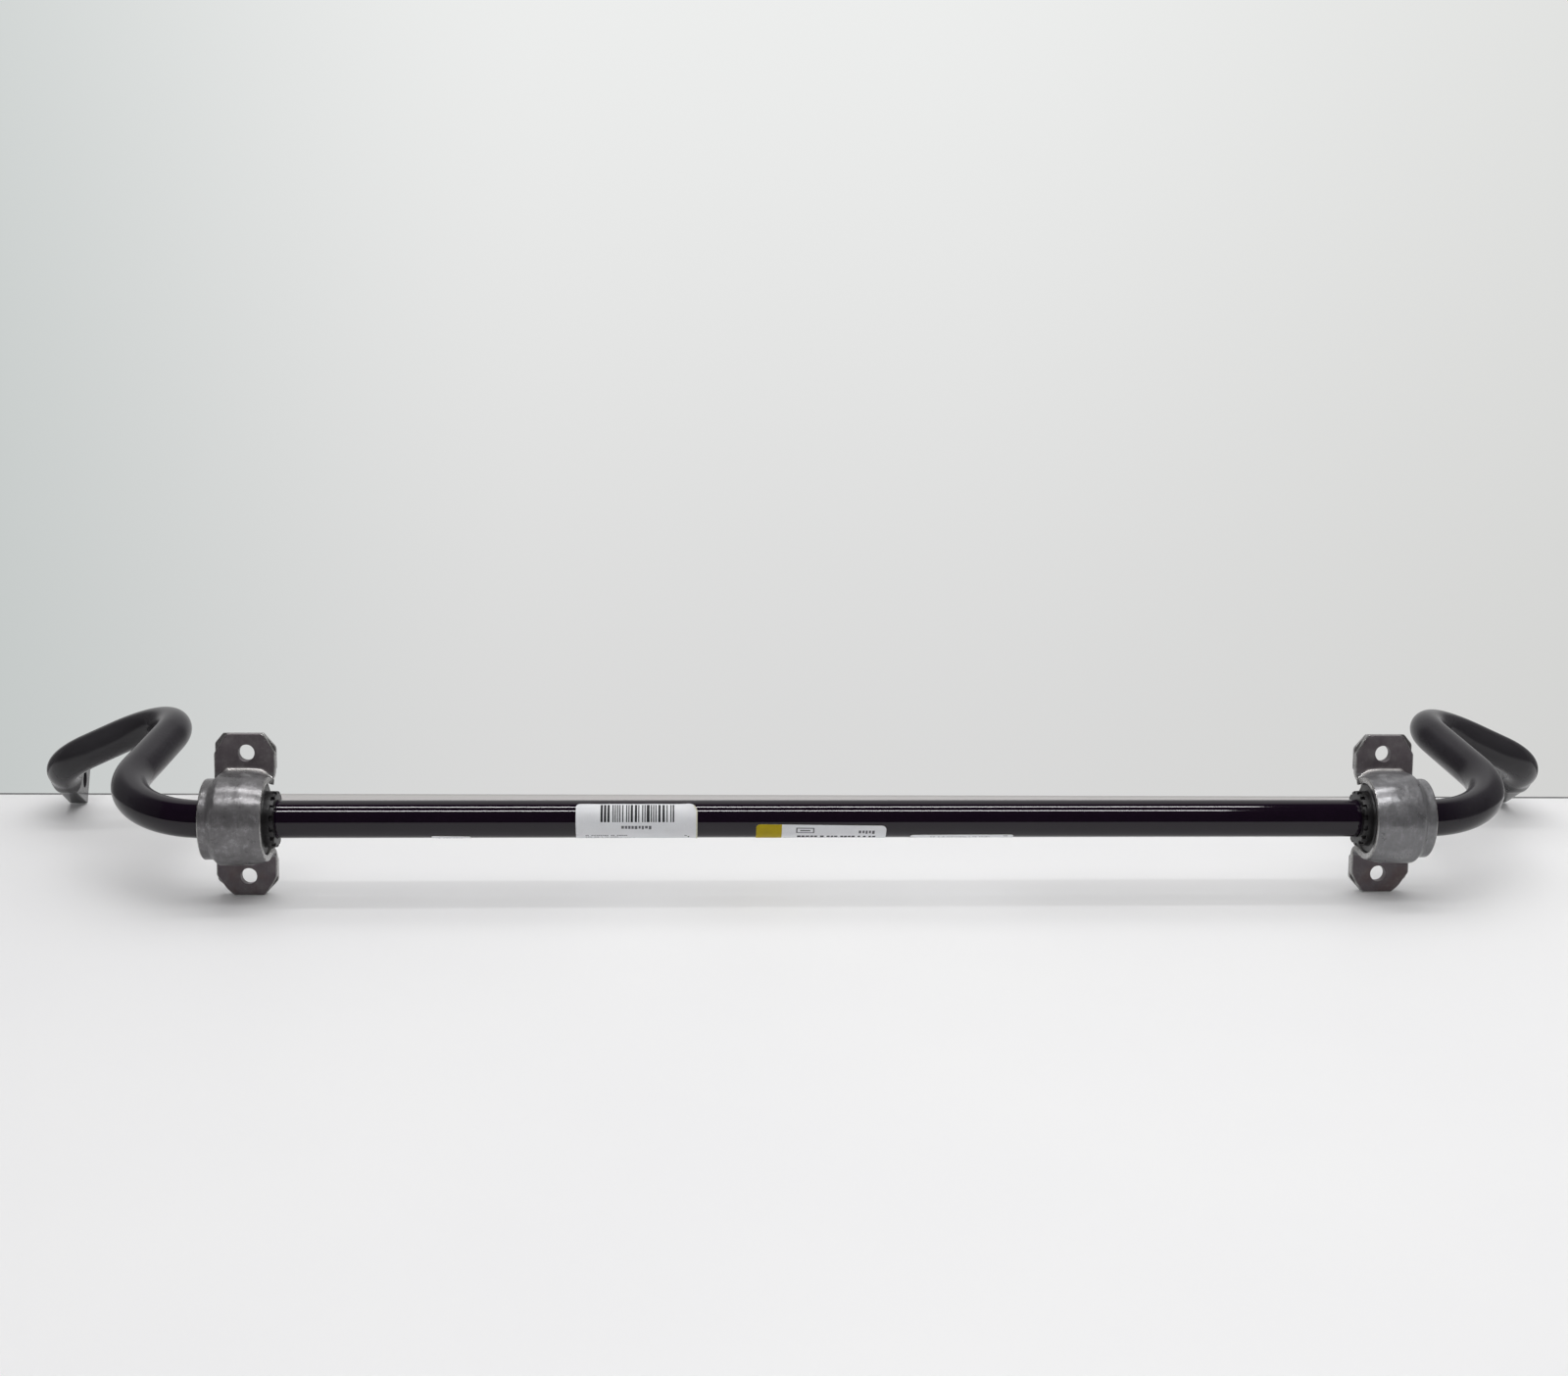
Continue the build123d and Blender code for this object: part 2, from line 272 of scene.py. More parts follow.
def strap_steel(side, tag):
    """Pressed steel with a mottled grey coating, darker and browner on the flat ears, with a painted highlight along
    the bends at the ears' feet.
    """
    m = Nodes("strap_steel_" + tag)
    p = bracket_coords(m, side)
    c = m.xyz(p)
    q = m.mapped(p, loc=(0.31 * side, 0.17, 0.05))
    big = m.noise(q, 95, 5, 0.62, 0.4)
    mid = m.noise(q, 420, 4, 0.6)
    fine = m.noise(q, 2300, 3, 0.6)
    streak = m.noise(m.mapped(q, scale=(7.0, 1, 1)), 130, 4, 0.6)
    tone = m.math("ADD", m.math("ADD", m.math("MULTIPLY", big, 0.70), m.math("MULTIPLY", mid, 0.22)),
                  m.math("MULTIPLY", fine, 0.08))
    tone = m.math("ADD", tone, m.math("MULTIPLY", m.math("SUBTRACT", streak, 0.5), 0.22))
    # Painted light and shade: the left strap's colour is made darker and the right one's lighter for how the lamps
    # fall on either side; the right one is also a touch bluer.
    k = 0.86 if side < 0 else 1.06
    tint = (1.0, 0.975, 1.0) if side < 0 else (0.98, 0.975, 1.01)
    band = m.ramp(tone, *[(p_, tuple(v * k * t for t in tint)) for p_, v in ((0.32, 0.140), (0.50, 0.190), (0.68, 0.275))])
    ear = m.ramp(tone, (0.30, (0.096, 0.081, 0.090)), (0.52, (0.130, 0.113, 0.122)), (0.72, (0.175, 0.156, 0.163)))
    low = m.math("MULTIPLY", m.remap(c[2], -0.026, -0.034), m.remap(m.noise(q, 60, 3), 0.45, 0.60))
    ear = m.mix(m.math("MULTIPLY", low, 0.55), ear, (0.105, 0.068, 0.064))
    av = m.math("ABSOLUTE", c[2])
    is_ear = m.math("MULTIPLY", m.remap(c[1], 0.0118, 0.0131), m.remap(av, 0.0225, 0.0245))
    # bend: the fillet at each ear's foot, where the painted highlight goes
    bend = m.math("MULTIPLY", m.remap(c[1], 0.0095, 0.0118), m.remap(c[1], 0.01345, 0.0128))
    bend = m.math("MULTIPLY", bend, m.remap(av, 0.017, 0.021))
    col = m.mix(is_ear, band, ear)
    rub = m.math("MULTIPLY", m.remap(mid, 0.50, 0.66), m.remap(big, 0.46, 0.60))
    rub = m.math("MULTIPLY", rub, m.math("SUBTRACT", 1.0, m.math("MULTIPLY", is_ear, 0.85)))
    col = m.mix(m.math("MULTIPLY", rub, 0.45), col, (0.36, 0.36, 0.37))
    # Painted highlight: a light line painted along the bend (its roughness is lowered there too, below).
    col = m.mix(m.math("MULTIPLY", bend, 0.75), col, (0.60, 0.59, 0.57))
    rough = m.math("ADD", 0.31, m.math("MULTIPLY", m.math("SUBTRACT", big, 0.5), 0.30))
    rough = m.math("SUBTRACT", rough, m.math("MULTIPLY", rub, 0.08))
    rough = m.math("SUBTRACT", rough, m.math("MULTIPLY", bend, 0.10))
    rough = m.math("ADD", rough, m.math("MULTIPLY", is_ear, 0.16), clamp=True)
    lump = m.noise(q, 210, 2, 0.5)
    h = m.math("ADD", m.math("MULTIPLY", lump, 1.0), m.math("MULTIPLY", mid, 0.20))
    n = m.bump(h, 0.00016, 0.8)
    m.set(Base_Color=col, Roughness=rough, Normal=n, Metallic=0.50, IOR=1.5)
    return m.mat


def sheared_steel(side, tag):
    """The sheet's cut edges: bare bright steel with shear lines across the thickness."""
    m = Nodes("sheared_steel_" + tag)
    p = bracket_coords(m, side)
    fine = m.noise(m.mapped(p, scale=(1, 0.25, 1)), 1500, 3, 0.6)
    big = m.noise(p, 240, 3, 0.6)
    col = m.ramp(m.math("ADD", m.math("MULTIPLY", fine, 0.5), m.math("MULTIPLY", big, 0.5)),
                 (0.32, (0.20, 0.195, 0.19)), (0.55, (0.34, 0.335, 0.33)), (0.70, (0.50, 0.50, 0.50)))
    m.set(Base_Color=col, Roughness=m.math("ADD", 0.18, m.math("MULTIPLY", big, 0.22)),
          Normal=m.bump(fine, 0.00008, 0.8), Metallic=0.8, IOR=1.5)
    return m.mat


def plate_steel(side, tag):
    m = Nodes("plate_steel_" + tag)
    p = bracket_coords(m, side)
    q = m.mapped(p, loc=(0.11 * side, 0.4, 0.2))
    big = m.noise(q, 80, 5, 0.62, 0.3)
    mid = m.noise(q, 460, 4, 0.6)
    fine = m.noise(q, 2300, 3, 0.6)
    tone = m.math("ADD", m.math("ADD", m.math("MULTIPLY", big, 0.55), m.math("MULTIPLY", mid, 0.30)),
                  m.math("MULTIPLY", fine, 0.15))
    col = m.ramp(tone, (0.30, (0.085, 0.077, 0.079)), (0.52, (0.130, 0.122, 0.123)), (0.72, (0.20, 0.195, 0.195)))
    rub = m.math("MULTIPLY", m.remap(mid, 0.52, 0.68), m.remap(big, 0.46, 0.60))
    col = m.mix(m.math("MULTIPLY", rub, 0.4), col, (0.34, 0.34, 0.34))
    rough = m.math("ADD", 0.46, m.math("MULTIPLY", m.math("SUBTRACT", mid, 0.5), 0.35))
    n = m.bump(m.math("ADD", mid, m.math("MULTIPLY", fine, 0.35)), 0.00010, 0.9)
    m.set(Base_Color=col, Roughness=rough, Normal=n, Metallic=0.55, IOR=1.5)
    return m.mat


def rubber(side, tag):
    """Moulded black rubber: matt, fine spark-eroded mould texture, greyer where it was handled."""
    m = Nodes("bush_rubber_" + tag)
    p = bracket_coords(m, side)
    cloud = m.noise(p, 130, 4, 0.6)
    fine = m.noise(p, 3200, 3, 0.6)
    bloom = m.remap(m.noise(p, 330, 4, 0.65), 0.52, 0.70)
    col = m.ramp(cloud, (0.3, (0.0038, 0.0032, 0.0036)), (0.7, (0.0070, 0.0060, 0.0065)))
    col = m.mix(m.math("MULTIPLY", bloom, 0.25), col, (0.018, 0.016, 0.016))
    rough = m.math("ADD", 0.27, m.math("MULTIPLY", cloud, 0.30))
    n = m.bump(m.math("ADD", fine, m.math("MULTIPLY", cloud, 0.6)), 0.00004, 0.9)
    m.set(Base_Color=col, Roughness=rough, Normal=n, IOR=1.5)
    return m.mat


def paper():
    """Satin white label paper with faint fibre clouding."""
    m = Nodes("sticker_paper")
    p = m.coords()
    fibre = m.noise(m.mapped(p, scale=(1, 2.2, 1)), 1300, 4, 0.65)
    cloud = m.noise(p, 55, 4, 0.6)
    smudge = m.remap(m.noise(p, 120, 4, 0.6), 0.56, 0.74)
    col = m.ramp(m.math("ADD", m.math("MULTIPLY", fibre, 0.4), m.math("MULTIPLY", cloud, 0.6)),
                 (0.30, (0.70, 0.71, 0.735)), (0.70, (0.80, 0.81, 0.83)))
    col = m.mix(m.math("MULTIPLY", smudge, 0.25), col, (0.62, 0.62, 0.63))
    m.set(Base_Color=col, Roughness=m.math("ADD", 0.42, m.math("MULTIPLY", cloud, 0.2)),
          Normal=m.bump(fibre, 0.000015, 0.8), IOR=1.45)
    return m.mat


def paper_edge():
    """The label's cut edge and glued back, a little cream."""
    m = Nodes("sticker_edge")
    p = m.coords()
    f = m.noise(p, 900, 3, 0.6)
    m.set(Base_Color=m.ramp(f, (0.3, (0.60, 0.58, 0.44)), (0.7, (0.72, 0.70, 0.56))),
          Roughness=m.math("ADD", 0.5, m.math("MULTIPLY", f, 0.2)), Normal=m.bump(f, 0.00001, 0.6))
    return m.mat


def ink(name, dark, light):
    """Thermal-transfer print: solid with small drop-outs."""
    m = Nodes(name)
    p = m.coords()
    f = m.noise(p, 2100, 3, 0.6)
    c = m.noise(p, 90, 3, 0.6)
    drop = m.remap(f, 0.62, 0.74)
    col = m.ramp(c, (0.3, dark), (0.7, tuple(1.25 * v for v in dark)))
    col = m.mix(m.math("MULTIPLY", drop, 0.5), col, light)
    m.set(Base_Color=col, Roughness=m.math("ADD", 0.42, m.math("MULTIPLY", c, 0.2)),
          Normal=m.bump(f, 0.000012, 0.7))
    m.bsdf.inputs["Specular IOR Level"].default_value = 0.2
    return m.mat


# ---- mesh helpers --------------------------------------------------------------------------------
def make_object(name, verts_mm, faces, mats, face_mats=None, sharp=38.0):
    me = bpy.data.meshes.new(name)
    me.from_pydata([tuple(float(c) * MM for c in v) for v in verts_mm], [], [tuple(int(i) for i in f) for f in faces])
    me.validate(clean_customdata=False)
    for mt in mats:
        me.materials.append(mt)
    if face_mats is not None:
        me.polygons.foreach_set("material_index", np.asarray(face_mats, np.int32))
    me.polygons.foreach_set("use_smooth", np.ones(len(me.polygons), bool))
    me.set_sharp_from_angle(angle=math.radians(sharp))
    me.update()
    ob = bpy.data.objects.new(name, me)
    scene.collection.objects.link(ob)
    return ob


def cut(ob, cutters, sharp=38.0):
    """Subtracts the cutters and keeps the result as the object's own mesh."""
    mods = []
    for c in cutters:
        md = ob.modifiers.new("cut", "BOOLEAN")
        md.operation, md.solver, md.object = "DIFFERENCE", "EXACT", c
        mods.append(md)
    dg = bpy.context.evaluated_depsgraph_get()
    me = bpy.data.meshes.new_from_object(ob.evaluated_get(dg))
    ob.modifiers.clear()
    old = ob.data
    ob.data = me
    me.name = ob.name
    bpy.data.meshes.remove(old)
    for c in cutters:
        cm = c.data
        bpy.data.objects.remove(c, do_unlink=True)
        bpy.data.meshes.remove(cm)
    me.polygons.foreach_set("use_smooth", np.ones(len(me.polygons), bool))
    me.set_sharp_from_angle(angle=math.radians(sharp))
    md = ob.modifiers.new("weighted", "WEIGHTED_NORMAL")
    md.keep_sharp = True
    md.weight = 80
    dg = bpy.context.evaluated_depsgraph_get()
    me2 = bpy.data.meshes.new_from_object(ob.evaluated_get(dg))
    ob.modifiers.clear()
    ob.data = me2
    me2.name = ob.name
    bpy.data.meshes.remove(me)
    return ob


def lathe(name, centre, axis, prof, seg=64, mats=()):
    """A closed solid of revolution: prof is a list of (distance along axis, radius), its ends closed."""
    axis = unit(np.asarray(axis, float))
    ref = np.array((0.0, 0, 1.0)) if abs(axis[2]) < 0.9 else np.array((1.0, 0, 0))
    a = unit(np.cross(axis, ref))
    b = np.cross(axis, a)
    V, F = [], []
    for d, r in prof:
        for i in range(seg):
            t = 2 * math.pi * i / seg
            V.append(centre + axis * d + (a * math.cos(t) + b * math.sin(t)) * r)
    for k in range(len(prof) - 1):
        for i in range(seg):
            j = (i + 1) % seg
            F.append((k * seg + i, k * seg + j, (k + 1) * seg + j, (k + 1) * seg + i))
    F.append(tuple(range(seg - 1, -1, -1)))
    F.append(tuple((len(prof) - 1) * seg + i for i in range(seg)))
    # faces outwards whatever the axes' hand
    if np.dot(np.cross(a, b), axis) < 0:
        F = [tuple(reversed(f)) for f in F]
    return make_object(name, V, F, mats)


# ---- the bar: one swept mesh from eye to eye -------------------------------------------------------
leg2 = unit(C3 - C2)
TAN3 = BEND_R[2] * math.tan(math.acos(float(np.dot(leg2, END))) / 2)
NECK0 = TAN3 + NECK_STRAIGHT
SIDE = unit(np.array((1.0, 0, 0)) - END[0] * END)
RISE = np.cross(END, SIDE)
if RISE[2] < 0:
    RISE = -RISE


def half_route():
    """Points and tangents of the centre line from the middle of the bar to the neck, on the right."""
    P, T = [], []
    corners = [np.zeros(3), C1, C2, C3, C3 + END * NECK0]
    pos = corners[0]
    for k in (1, 2, 3):
        a, c, b = corners[k - 1], corners[k], corners[k + 1]
        d0, d1 = unit(c - a), unit(b - c)
        turn = math.acos(float(np.dot(d0, d1)))
        tl = BEND_R[k - 1] * math.tan(turn / 2)
        start = c - d0 * tl
        run = np.linalg.norm(start - pos)
        step = 8.0 if k == 1 else 4.0
        n = max(1, int(math.ceil(run / step)))
        for i in range(n):
            P.append(pos + (start - pos) * i / n)
            T.append(d0)
        nrm = unit(d1 - d0 * float(np.dot(d0, d1)))
        centre = start + nrm * BEND_R[k - 1]
        m = max(8, int(math.degrees(turn) / 2.2))
        for i in range(m):
            t = turn * i / m
            P.append(centre - nrm * BEND_R[k - 1] * math.cos(t) + d0 * BEND_R[k - 1] * math.sin(t))
            T.append(d0 * math.cos(t) + nrm * math.sin(t))
        pos = c + d1 * tl
    endp = C3 + END * NECK0
    P.append(pos)
    T.append(END)
    return np.array(P), np.array(T), endp


def smin(a, b, k):
    h = np.maximum(k - np.abs(a - b), 0.0) / k
    return np.minimum(a, b) - h * h * k * 0.25


SEG = 96


def build_bar(mats):
    P, T, endp = half_route()
    # rotation-minimising frames
    nrm = np.array((0.0, 0.0, 1.0))
    N = []
    for i in range(len(P)):
        if i:
            ax = np.cross(T[i - 1], T[i])
            s = np.linalg.norm(ax)
            if s > 1e-9:
                ang = math.asin(min(1.0, s))
                R = np.array(Matrix.Rotation(ang, 3, Vector(ax / s)))
                nrm = R @ nrm
        nrm = unit(nrm - T[i] * np.dot(nrm, T[i]))
        N.append(nrm)
    N = np.array(N)
    # angle between the last frame and the eye's rise direction, spread over the arm
    B = np.cross(T, N)
    off = math.atan2(float(np.dot(RISE, B[-1])), float(np.dot(RISE, N[-1])))
    L = np.concatenate([[0], np.cumsum(np.linalg.norm(np.diff(P, axis=0), axis=1))])
    l0 = 345.0
    w = smooth((L - l0) / (L[-1] - l0)) * off
    U = N * np.cos(w)[:, None] + B * np.sin(w)[:, None]
    W = np.cross(T, U)
    th = np.arange(SEG) * 2 * math.pi / SEG
    rings = []
    for i in range(len(P)):
        rings.append(P[i] + BAR_R * (np.cos(th)[:, None] * U[i] + np.sin(th)[:, None] * W[i]))
    # neck and forged eye, in the (rise, side) frame; W at the end is END x RISE
    side = np.cross(END, RISE)
    s_list = list(np.linspace(NECK0, NECK0 + NECK_LEN, 22)[0:]) + list(np.arange(NECK0 + NECK_LEN + 1.2, LEG3 - 2.2, 1.2))
    s_list += [LEG3 - e for e in (2.2, 1.9, 1.6, 1.3, 1.0, 0.75, 0.55, 0.38, 0.24, 0.12, 0.04, 0.0)]
    cs, sn = np.cos(th), np.sin(th)
    for s in s_list:
        q = float(smooth(np.array((s - NECK0) / NECK_LEN)))
        qt = float(smooth(np.array((s - NECK0 - 0.5) / (NECK_LEN - 2.0))))
        qw = float(smooth(np.array((s - NECK0) / 12.5)))
        half_w = BAR_R + (EYE_W / 2 - 0.08 - BAR_R) * qw
        bulge = BAR_R + 2.6 * q
        half_t = BAR_R + (EYE_T / 2 - 0.07 - BAR_R) * qt + 0.35 * (1 - qt)
        e = LEG3 - s
        rc = 2.2
        if e < rc:      # the cut end's two corners
            half_w -= rc - math.sqrt(max(0.0, rc * rc - (rc - e) ** 2))
        rb = 0.55
        if e < rb:      # rolled edge of the cut face
            d = rb - math.sqrt(max(0.0, rb * rb - (rb - e) ** 2))
            half_t -= d
            half_w -= d * 0.6
        # oval body pressed flat on both sides
        n = 2.0 + 0.9 * q
        rr = (np.abs(cs) ** n + np.abs(sn) ** n) ** (-1.0 / n)
        y = half_w * cs * rr                   # along rise
        x = bulge * sn * rr                    # along side
        k = 1.5 * (1 - 0.35 * q)
        x = np.sign(x) * smin(np.abs(x), np.full_like(x, half_t), k)
        c = C3 + END * s + RISE * EYE_RAISE * q
        rings.append(c + y[:, None] * RISE + x[:, None] * side)
    R = np.array(rings)
    n_r = len(R)
    V = (R + ORIGIN).reshape(-1, 3)
    F = []
    for r in range(n_r - 1):
        for i in range(SEG):
            j = (i + 1) % SEG
            F.append((r * SEG + i, r * SEG + j, (r + 1) * SEG + j, (r + 1) * SEG + i))
    F.append(tuple(range(SEG)))
    F.append(tuple((n_r - 1) * SEG + i for i in reversed(range(SEG))))
    ob = make_object("bar_half", V, F, mats[:1], sharp=60)
    fix_normals(ob)
    hole_c = C3 + END * (LEG3 - EYE_HOLE_IN) + RISE * EYE_RAISE + ORIGIN
    r = EYE_HOLE_D / 2
    t = EYE_T / 2 - 0.04
    prof = [(-12, r + 0.40), (-t, r + 0.40), (-t + 0.40, r), (t - 0.40, r), (t, r + 0.40), (12, r + 0.40)]
    cutter = lathe("cut", hole_c, SIDE, prof, 72, mats[:1])
    fix_normals(cutter)
    ob = cut(ob, [cutter], 35)
    me = ob.data
    V = np.array([v.co[:] for v in me.vertices]) / MM
    F = [tuple(p.vertices) for p in me.polygons]
    F = [f for f in F if not all(abs(V[i, 0]) < 1e-4 for i in f)]
    mid = {}
    for i, v in enumerate(V):
        if abs(v[0]) < 1e-4:
            mid[i] = i
            V[i, 0] = 0.0
    n = len(V)
    V2 = V.copy()
    V2[:, 0] *= -1
    allv = np.concatenate([V2, V])
    F2 = [tuple(mid[i] if i in mid else i for i in reversed(f)) for f in F]
    F1 = [tuple(mid[i] if i in mid else i + n for i in f) for f in F]
    faces = F2 + F1
    fm = [1 if (np.mean([allv[i][0] for i in f]) > GLOSS_X1 or np.mean([allv[i][0] for i in f]) < GLOSS_X0) else 0 for f in faces]
    used = sorted({i for f in faces for i in f})
    back = {i: k for k, i in enumerate(used)}
    bar = make_object("bar_body", allv[used], [tuple(back[i] for i in f) for f in faces], mats, fm, 35)
    fix_normals(bar)
    bar.data.set_sharp_from_angle(angle=math.radians(35))
    bpy.data.objects.remove(ob, do_unlink=True)
    bpy.data.meshes.remove(me)
    return bar


GLOSS_X0, GLOSS_X1 = -359.0, 341.0


def fix_normals(ob):
    """Turns the faces outwards."""
    import bmesh
    bm = bmesh.new()
    bm.from_mesh(ob.data)
    bmesh.ops.recalc_face_normals(bm, faces=bm.faces)
    if bm.calc_volume(signed=True) < 0:
        bmesh.ops.reverse_faces(bm, faces=bm.faces)
    bm.to_mesh(ob.data)
    bm.free()
    ob.data.update()


# ---- brackets: sheet parts built as rounded-edge slabs over a profile grid -------------------------------
def place(local, sgn):
    """(u, n, v) of the bracket's own frame to the row frame."""
    t = math.radians(TILT)
    c, s = math.cos(t), math.sin(t)
    u, n, v = local[..., 0], local[..., 1], local[..., 2]
    return np.stack([sgn * (BRK_X + u), n * c + v * s + AXIS_Y, v * c - n * s + AXIS_Z], -1)


def resample(poly, s):
    d = np.concatenate([[0], np.cumsum(np.linalg.norm(np.diff(poly, axis=0), axis=1))])
    return np.stack([np.interp(s, d, poly[:, k]) for k in range(2)], -1), d[-1]


def blur(poly, step, sigma):
    """Rounds a polyline's corners: even resampling, then a Gaussian along it with its ends held."""
    n = max(8, int(round(np.sum(np.linalg.norm(np.diff(poly, axis=0), axis=1)) / step)))
    p, L = resample(poly, np.linspace(0, 1, n) * np.sum(np.linalg.norm(np.diff(poly, axis=0), axis=1)))
    k = int(4 * sigma / step) + 1
    w = np.exp(-0.5 * (np.arange(-k, k + 1) * step / sigma) ** 2)
    w /= w.sum()
    pad0 = p[0] - (p[1:k + 1][::-1] - p[0])
    pad1 = p[-1] - (p[-k - 1:-1][::-1] - p[-1])
    q = np.concatenate([pad0, p, pad1])
    return np.stack([np.convolve(q[:, i], w, "valid") for i in range(2)], -1)


def slab(rows_fn, u_lo, u_hi, n_cols, thick, edge_r, tip_r):
    """A sheet over a grid. rows_fn(u) gives the outer surface (n, v) for every row at that u (array of rows x 2).
    u_lo, u_hi: per row. Returns vertices (rows x loop x 3) of a closed band, edges rounded."""
    us = np.linspace(-16.8, 18.9, 120)
    tab = np.stack([rows_fn(u) for u in us], 1)          # rows, us, 2
    n_rows = tab.shape[0]
    # loop across: outer surface, rounded edge, rim, rounded edge, inner surface ...
    k = 5
    arc = np.linspace(0, math.pi / 2, k)
    inner_cols = np.linspace(0, 1, n_cols)
    loop = []   # (which, t or offsets): du from the edge, h depth
    for t in inner_cols:
        loop.append(("s", t, 0.0, 0.0))
    for a in arc[1:]:
        loop.append(("r", 1.0, edge_r * math.sin(a), edge_r * (1 - math.cos(a))))
    er2 = edge_r * 0.55
    for a in arc[:-1]:
        loop.append(("r", 1.0, edge_r - (er2 - er2 * math.cos(a)), thick - er2 + er2 * math.sin(a)))
    for t in inner_cols[::-1]:
        loop.append(("s", t, 0.0, thick))
    for a in arc[::-1][:-1]:
        loop.append(("l", 0.0, edge_r - (er2 - er2 * math.cos(a)), thick - er2 + er2 * math.sin(a)))
    for a in arc[::-1][:-1]:
        loop.append(("l", 0.0, edge_r * math.sin(a), edge_r * (1 - math.cos(a))))
    n_loop = len(loop)
    out = np.zeros((n_rows, n_loop, 3))
    H = np.zeros((n_rows, n_loop))
    for j, (kind, t, du, h) in enumerate(loop):
        lo, hi = u_lo + edge_r, u_hi - edge_r
        u = lo + (hi - lo) * t
        if kind == "r":
            u = hi + du
        elif kind == "l":
            u = lo - du
        for i in range(n_rows):
            out[i, j, 0] = u[i]
            out[i, j, 1] = np.interp(u[i], us, tab[i, :, 0])
            out[i, j, 2] = np.interp(u[i], us, tab[i, :, 1])
        H[:, j] = h
    # normals of the outer surface (pointing out, to the front) from finite differences of the table
    def surf(i, u):
        return np.array((u, np.interp(u, us, tab[i, :, 0]), np.interp(u, us, tab[i, :, 1])))
    nr = np.zeros_like(out)
    for i in range(n_rows):
        a, b = max(0, i - 1), min(n_rows - 1, i + 1)
        for j in range(n_loop):
            u = out[i, j, 0]
            ds = surf(b, u) - surf(a, u)
            dv = surf(i, u + 0.2) - surf(i, u - 0.2)
            nr[i, j] = unit(np.cross(ds, dv))
    return out, nr, H, loop


def slab_mesh(out, nr, H, thick, tip_r, tip_rows, loop, n_cols, wave=0.0, seed=0.0):
    """Moves each loop point to its depth and closes the two ends."""
    n_rows, n_loop = out.shape[:2]
    P = out - nr * H[..., None]
    if wave:
        for i in range(n_rows):
            for j in range(n_loop):
                q = out[i, j]
                d = noise.noise(Vector((q[0] * 0.16 + seed, q[1] * 0.16, q[2] * 0.16))) * wave
                d += noise.noise(Vector((q[0] * 0.55 + seed, q[1] * 0.55 + 9.0, q[2] * 0.55))) * wave * 0.35
                P[i, j] += nr[i, j] * (d - wave * 0.9)
    F, M = [], []
    for i in range(n_rows - 1):
        for j in range(n_loop):
            k = (j + 1) % n_loop
            F.append((i * n_loop + j, i * n_loop + k, (i + 1) * n_loop + k, (i + 1) * n_loop + j))
            M.append(0 if loop[j][0] == "s" and loop[k][0] == "s" else 1)
    F.append(tuple(range(n_loop)))
    M.append(1)
    F.append(tuple((n_rows - 1) * n_loop + j for j in reversed(range(n_loop))))
    M.append(1)
    return P.reshape(-1, 3), F, M


def drop_of(u):
    """How far the band's surface falls towards its inboard rim."""
    return 2.3 * min(1.0, max(0.0, (-2.0 - u) / 13.5)) ** 2.1


def band_radius(u):
    r = BAND_R - drop_of(u)
    return r - (BAND_R - COLLAR_R) * float(smooth(np.array((u - (U_STEP0 - 1.0)) / (U_STEP1 - U_STEP0 + 1.6))))


def strap_half(u):
    """Upper half of the strap's outer line at u: ear tip, foot bend, round to the front. (n, v) points."""
    ro = band_radius(u)
    # towards either edge the side turns from a straight run into a circle that meets the ear lower down
    w = max(float(smooth(np.array((-8.5 - u) / 7.5))), 0.85 * float(smooth(np.array((u - 9.0) / 6.0))))
    n = np.linspace(0.0, EAR_N, 40)
    circ = np.sqrt(np.maximum(ro * ro - n * n, 1.0))
    v = ro + (circ - ro) * w * 0.72
    side = np.stack([n, v], -1)
    a = np.linspace(math.pi / 2, math.pi, 60)
    front = np.stack([ro * np.cos(a), ro * np.sin(a)], -1)
    ear = np.array([(EAR_N, EAR_V), (EAR_N, v[-1])])
    poly = np.concatenate([ear, side[::-1][1:], front[1:]])
    corner = EAR_V - v[-1]
    return poly, corner


def rows_for(total, corner, n_ear, n_bend, n_body, reach=5.0):
    tip = [0.0, 0.05, 0.16, 0.32, 0.52, 0.75]
    ear = list(np.linspace(1.0, corner - reach, n_ear))
    bend = list(np.linspace(corner - reach, corner + reach, n_bend))[1:]
    body = list(np.linspace(corner + reach, total, n_body))[1:]
    return np.array(tip + ear + bend + body)


def strap_rows(u):
    poly, corner = strap_half(u)
    p = blur(poly, 0.25, 1.15)
    L = np.sum(np.linalg.norm(np.diff(p, axis=0), axis=1))
    s = rows_for(L, corner, 26, 26, 44)
    up, _ = resample(p, s)
    up[-1] = (-band_radius(u), 0.0)
    dn = up[::-1][1:].copy()
    dn[:, 1] *= -1
    return np.concatenate([up, dn])


def corner_cut(v, V, cu, cv):
    """Inset of the outline at height v for a chamfer (cu along u, cv along v) at the tip height V."""
    t = np.clip((v - (V - cv)) / cv, 0, 1)
    return cu * t


def soften(a, n=2):
    for _ in range(n):
        b = a.copy()
        b[1:-1] = (a[:-2] + 2 * a[1:-1] + a[2:]) / 4
        a = b
    return a


